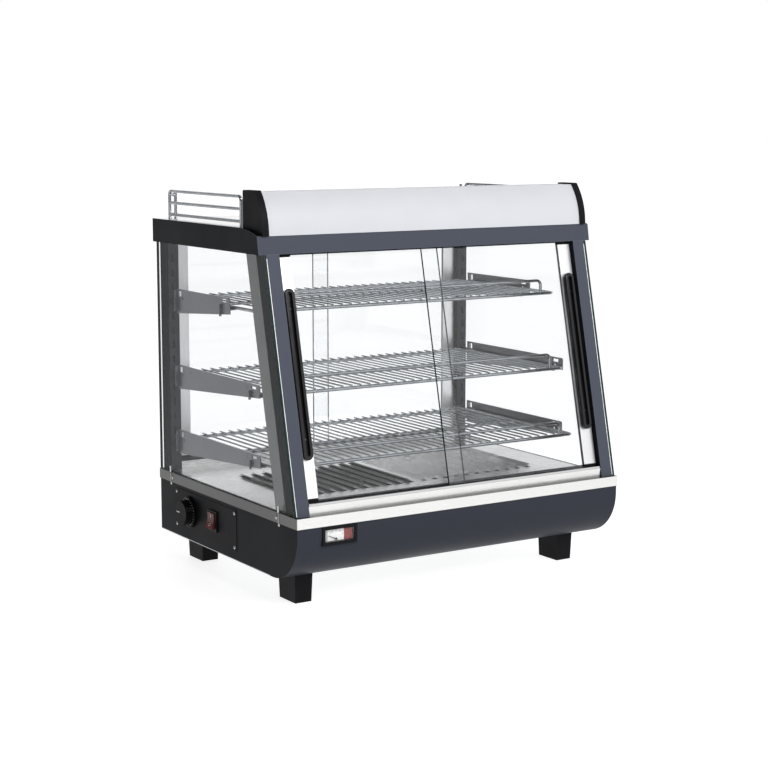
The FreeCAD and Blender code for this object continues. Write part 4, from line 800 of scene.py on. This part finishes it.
def glass_highlight_beads():
    """Pale beads along the front edges of the side glass and of the strips behind it, as painted
    highlights of those edges, and a black gasket under the glass."""
    beads, gaskets = bmesh.new(), bmesh.new()
    strip = islands("side_strips")[0][0]
    glass_low, glass_high = corners_mm("side_glass_left")
    run = (glass_high.z - glass_low.z) / math.cos(SLOPE)
    half = Vector((*BEAD_HALF, run / 2 - BEAD_SHORT))
    for side in (-1, 1):
        for x, front, base in ((GLASS_BEAD_X, glass_low.y + GLASS_BEAD_Y, glass_low.z),
                               (STRIP_BEAD_X, strip.y + STRIP_BEAD_Y, strip.z)):
            foot = Matrix.Translation((side * x, front, base)) @ LEAN
            middle = foot @ Vector((0, 0, run / 2 - BEAD_DROP))
            soft_box(beads, middle - half, middle + half, 0.3, LEAN, 2)
        near, far = sorted(side * x for x in GASKET_X)
        soft_box(gaskets, (near, GASKET_FRONT, GASKET_Z[0]), (far, glass_high.y, GASKET_Z[1]), 0.3)
    finish_piece("glass_highlight_beads", beads, bead_highlight, ROOT)
    finish_piece("glass_gaskets", gaskets, black, ROOT)


FACING_BASE = 2.4
FACING_TOP = 0.3
FACING_PROUD = 0.55
FACING_SUNK = 0.05

track_steel = brushed_steel("track_steel", (0.60, 0.60, 0.60), "Z", 0.3)


def track_facing():
    """Steel strip along the front of the lower front track, above a dark line of gasket."""
    low, high = min(islands("front_tracks"), key=lambda box: box[0].z)
    facing = bmesh.new()
    soft_box(facing, (low.x + 1, low.y - FACING_PROUD, low.z + FACING_BASE),
             (high.x - 1, low.y - FACING_SUNK, high.z + FACING_TOP), 0.1, None, 1)
    finish_piece("track_facing", facing, track_steel, ROOT)


SHEET_SCREW_X = (-315.0, -105.0, 105.0, 315.0)
SHEET_SCREW_Z = (60.0, 137.0)


def sheet_screws():
    """Small pan heads that hold the rear panel."""
    heads, recess = bmesh.new(), bmesh.new()
    rear_face = corners_mm("rear_panel")[1].y
    for x in SHEET_SCREW_X:
        for z in SHEET_SCREW_Z:
            place = Matrix.Translation((x, rear_face, z)) @ Matrix.Rotation(math.pi / 2, 4, "Z")
            cross_screw(heads, recess, place, PLATE_HEAD)
    finish_piece("sheet_screws", heads, screw_steel, ROOT)
    finish_piece("sheet_screw_recesses", recess, recess_dark, ROOT, False)


foot_screws()
seam_clips()
glass_tapes()
glass_highlight_beads()
track_facing()
sheet_screws()


# ---------------------------------------------------------------- studio

FLOOR_REACH = 30.0
FLOOR_GLOW = 0.80


def pale_floor():
    """Large pale floor with a slight sheen."""
    shader = Shader("studio_floor")
    wash = shader.noise(1.5, 2.0)
    material = shader.surface(
        Base_Color=shader.tint(wash, (0.34, 0.34, 0.342), (0.36, 0.36, 0.362)),
        Roughness=shader.spread(wash, 0.55, 0.65),
        Emission_Color=WHITE, Emission_Strength=FLOOR_GLOW)
    mesh = bmesh.new()
    bmesh.ops.create_grid(mesh, x_segments=1, y_segments=1, size=FLOOR_REACH)
    data = bpy.data.meshes.new("studio_floor")
    mesh.to_mesh(data)
    mesh.free()
    data.materials.append(material)
    thing = bpy.data.objects.new("studio_floor", data)
    bpy.context.scene.collection.objects.link(thing)


LIGHTS = (
    ("key", 80, (2.0, 1.4), (0.1, -2.6, 2.1), (0, 0, 0.35)),
    ("fill", 5, (1.8, 1.4), (2.4, -1.0, 1.8), (0, 0, 0.35)),
    ("top", 5, (1.6, 1.2), (0.3, 0.6, 2.6), (0, 0, 0.4)),
)


def soft_light(name, power, size, where, aim):
    """A rectangular light of so many watts, aimed at a point."""
    data = bpy.data.lights.new(name, "AREA")
    data.shape = "RECTANGLE"
    data.size, data.size_y = size
    data.energy = power
    thing = bpy.data.objects.new(name, data)
    thing.location = where
    direction = Vector(aim) - Vector(where)
    thing.rotation_euler = direction.to_track_quat("-Z", "Y").to_euler()
    bpy.context.scene.collection.objects.link(thing)


# Brightness from left to right and from below to above, as (place, level).
SIDE_LEVELS = ((0.0, 0.10), (0.24, 0.20), (0.38, 0.55), (0.5, 0.90), (0.75, 1.0), (1.0, 0.85))
RISE_LEVELS = ((0.5, 1.0), (0.56, 1.1), (0.66, 1.5), (0.80, 0.45), (1.0, 0.40))


def studio_world():
    """White room seen directly.  As a source of light and reflections it is dark to the left,
    brightest a little above the horizon and dim overhead."""
    world = bpy.data.worlds.new("studio")
    bpy.context.scene.world = world
    world.use_nodes = True
    tree = world.node_tree
    tree.nodes.clear()

    def node(kind):
        return tree.nodes.new(f"ShaderNode{kind}")

    split = node("SeparateXYZ")
    tree.links.new(node("TexCoord").outputs["Generated"], split.inputs[0])
    product = node("VectorMath")
    product.operation = "MULTIPLY"
    for slot, (axis, levels) in enumerate((("X", SIDE_LEVELS), ("Z", RISE_LEVELS))):
        across = node("MapRange")
        across.inputs["From Min"].default_value = -1.0
        tree.links.new(split.outputs[axis], across.inputs["Value"])
        ramp = node("ValToRGB")
        ramp.color_ramp.elements.remove(ramp.color_ramp.elements[0])
        for index, (at, level) in enumerate(levels):
            stops = ramp.color_ramp.elements
            element = stops.new(at) if index else stops[0]
            element.position = at
            element.color = (level, level, level, 1)
        tree.links.new(across.outputs["Result"], ramp.inputs["Fac"])
        tree.links.new(ramp.outputs["Color"], product.inputs[slot])
    lit, seen, mix = node("Background"), node("Background"), node("MixShader")
    tree.links.new(product.outputs[0], lit.inputs["Color"])
    seen.inputs["Color"].default_value = WHITE
    sources = (node("LightPath").outputs["Is Camera Ray"], lit.outputs[0], seen.outputs[0])
    for socket, source in zip(mix.inputs, sources):
        tree.links.new(source, socket)
    tree.links.new(mix.outputs[0], node("OutputWorld").inputs["Surface"])


CAMERA_PLACE = (-1.7098, -2.6854, 0.7983)
CAMERA_AZIMUTH = math.radians(-32.42)
CAMERA_ELEVATION = math.radians(8.464)
CAMERA_LENS = 83.62


def camera():
    """Long view of the front and the left side, from a little above the case."""
    back = Vector((math.sin(CAMERA_AZIMUTH) * math.cos(CAMERA_ELEVATION),
                   -math.cos(CAMERA_AZIMUTH) * math.cos(CAMERA_ELEVATION),
                   math.sin(CAMERA_ELEVATION)))
    data = bpy.data.cameras.new("camera")
    data.sensor_width = 36.0
    data.lens = CAMERA_LENS
    data.clip_end = 100.0
    thing = bpy.data.objects.new("camera", data)
    thing.location = CAMERA_PLACE
    thing.rotation_euler = (-back).to_track_quat("-Z", "Y").to_euler()
    bpy.context.scene.collection.objects.link(thing)
    bpy.context.scene.camera = thing


pale_floor()
studio_world()
for light in LIGHTS:
    soft_light(*light)
camera()

scene = bpy.context.scene
scene.view_settings.view_transform = "Standard"
scene.cycles.transparent_max_bounces = 32
scene.cycles.max_bounces = 10
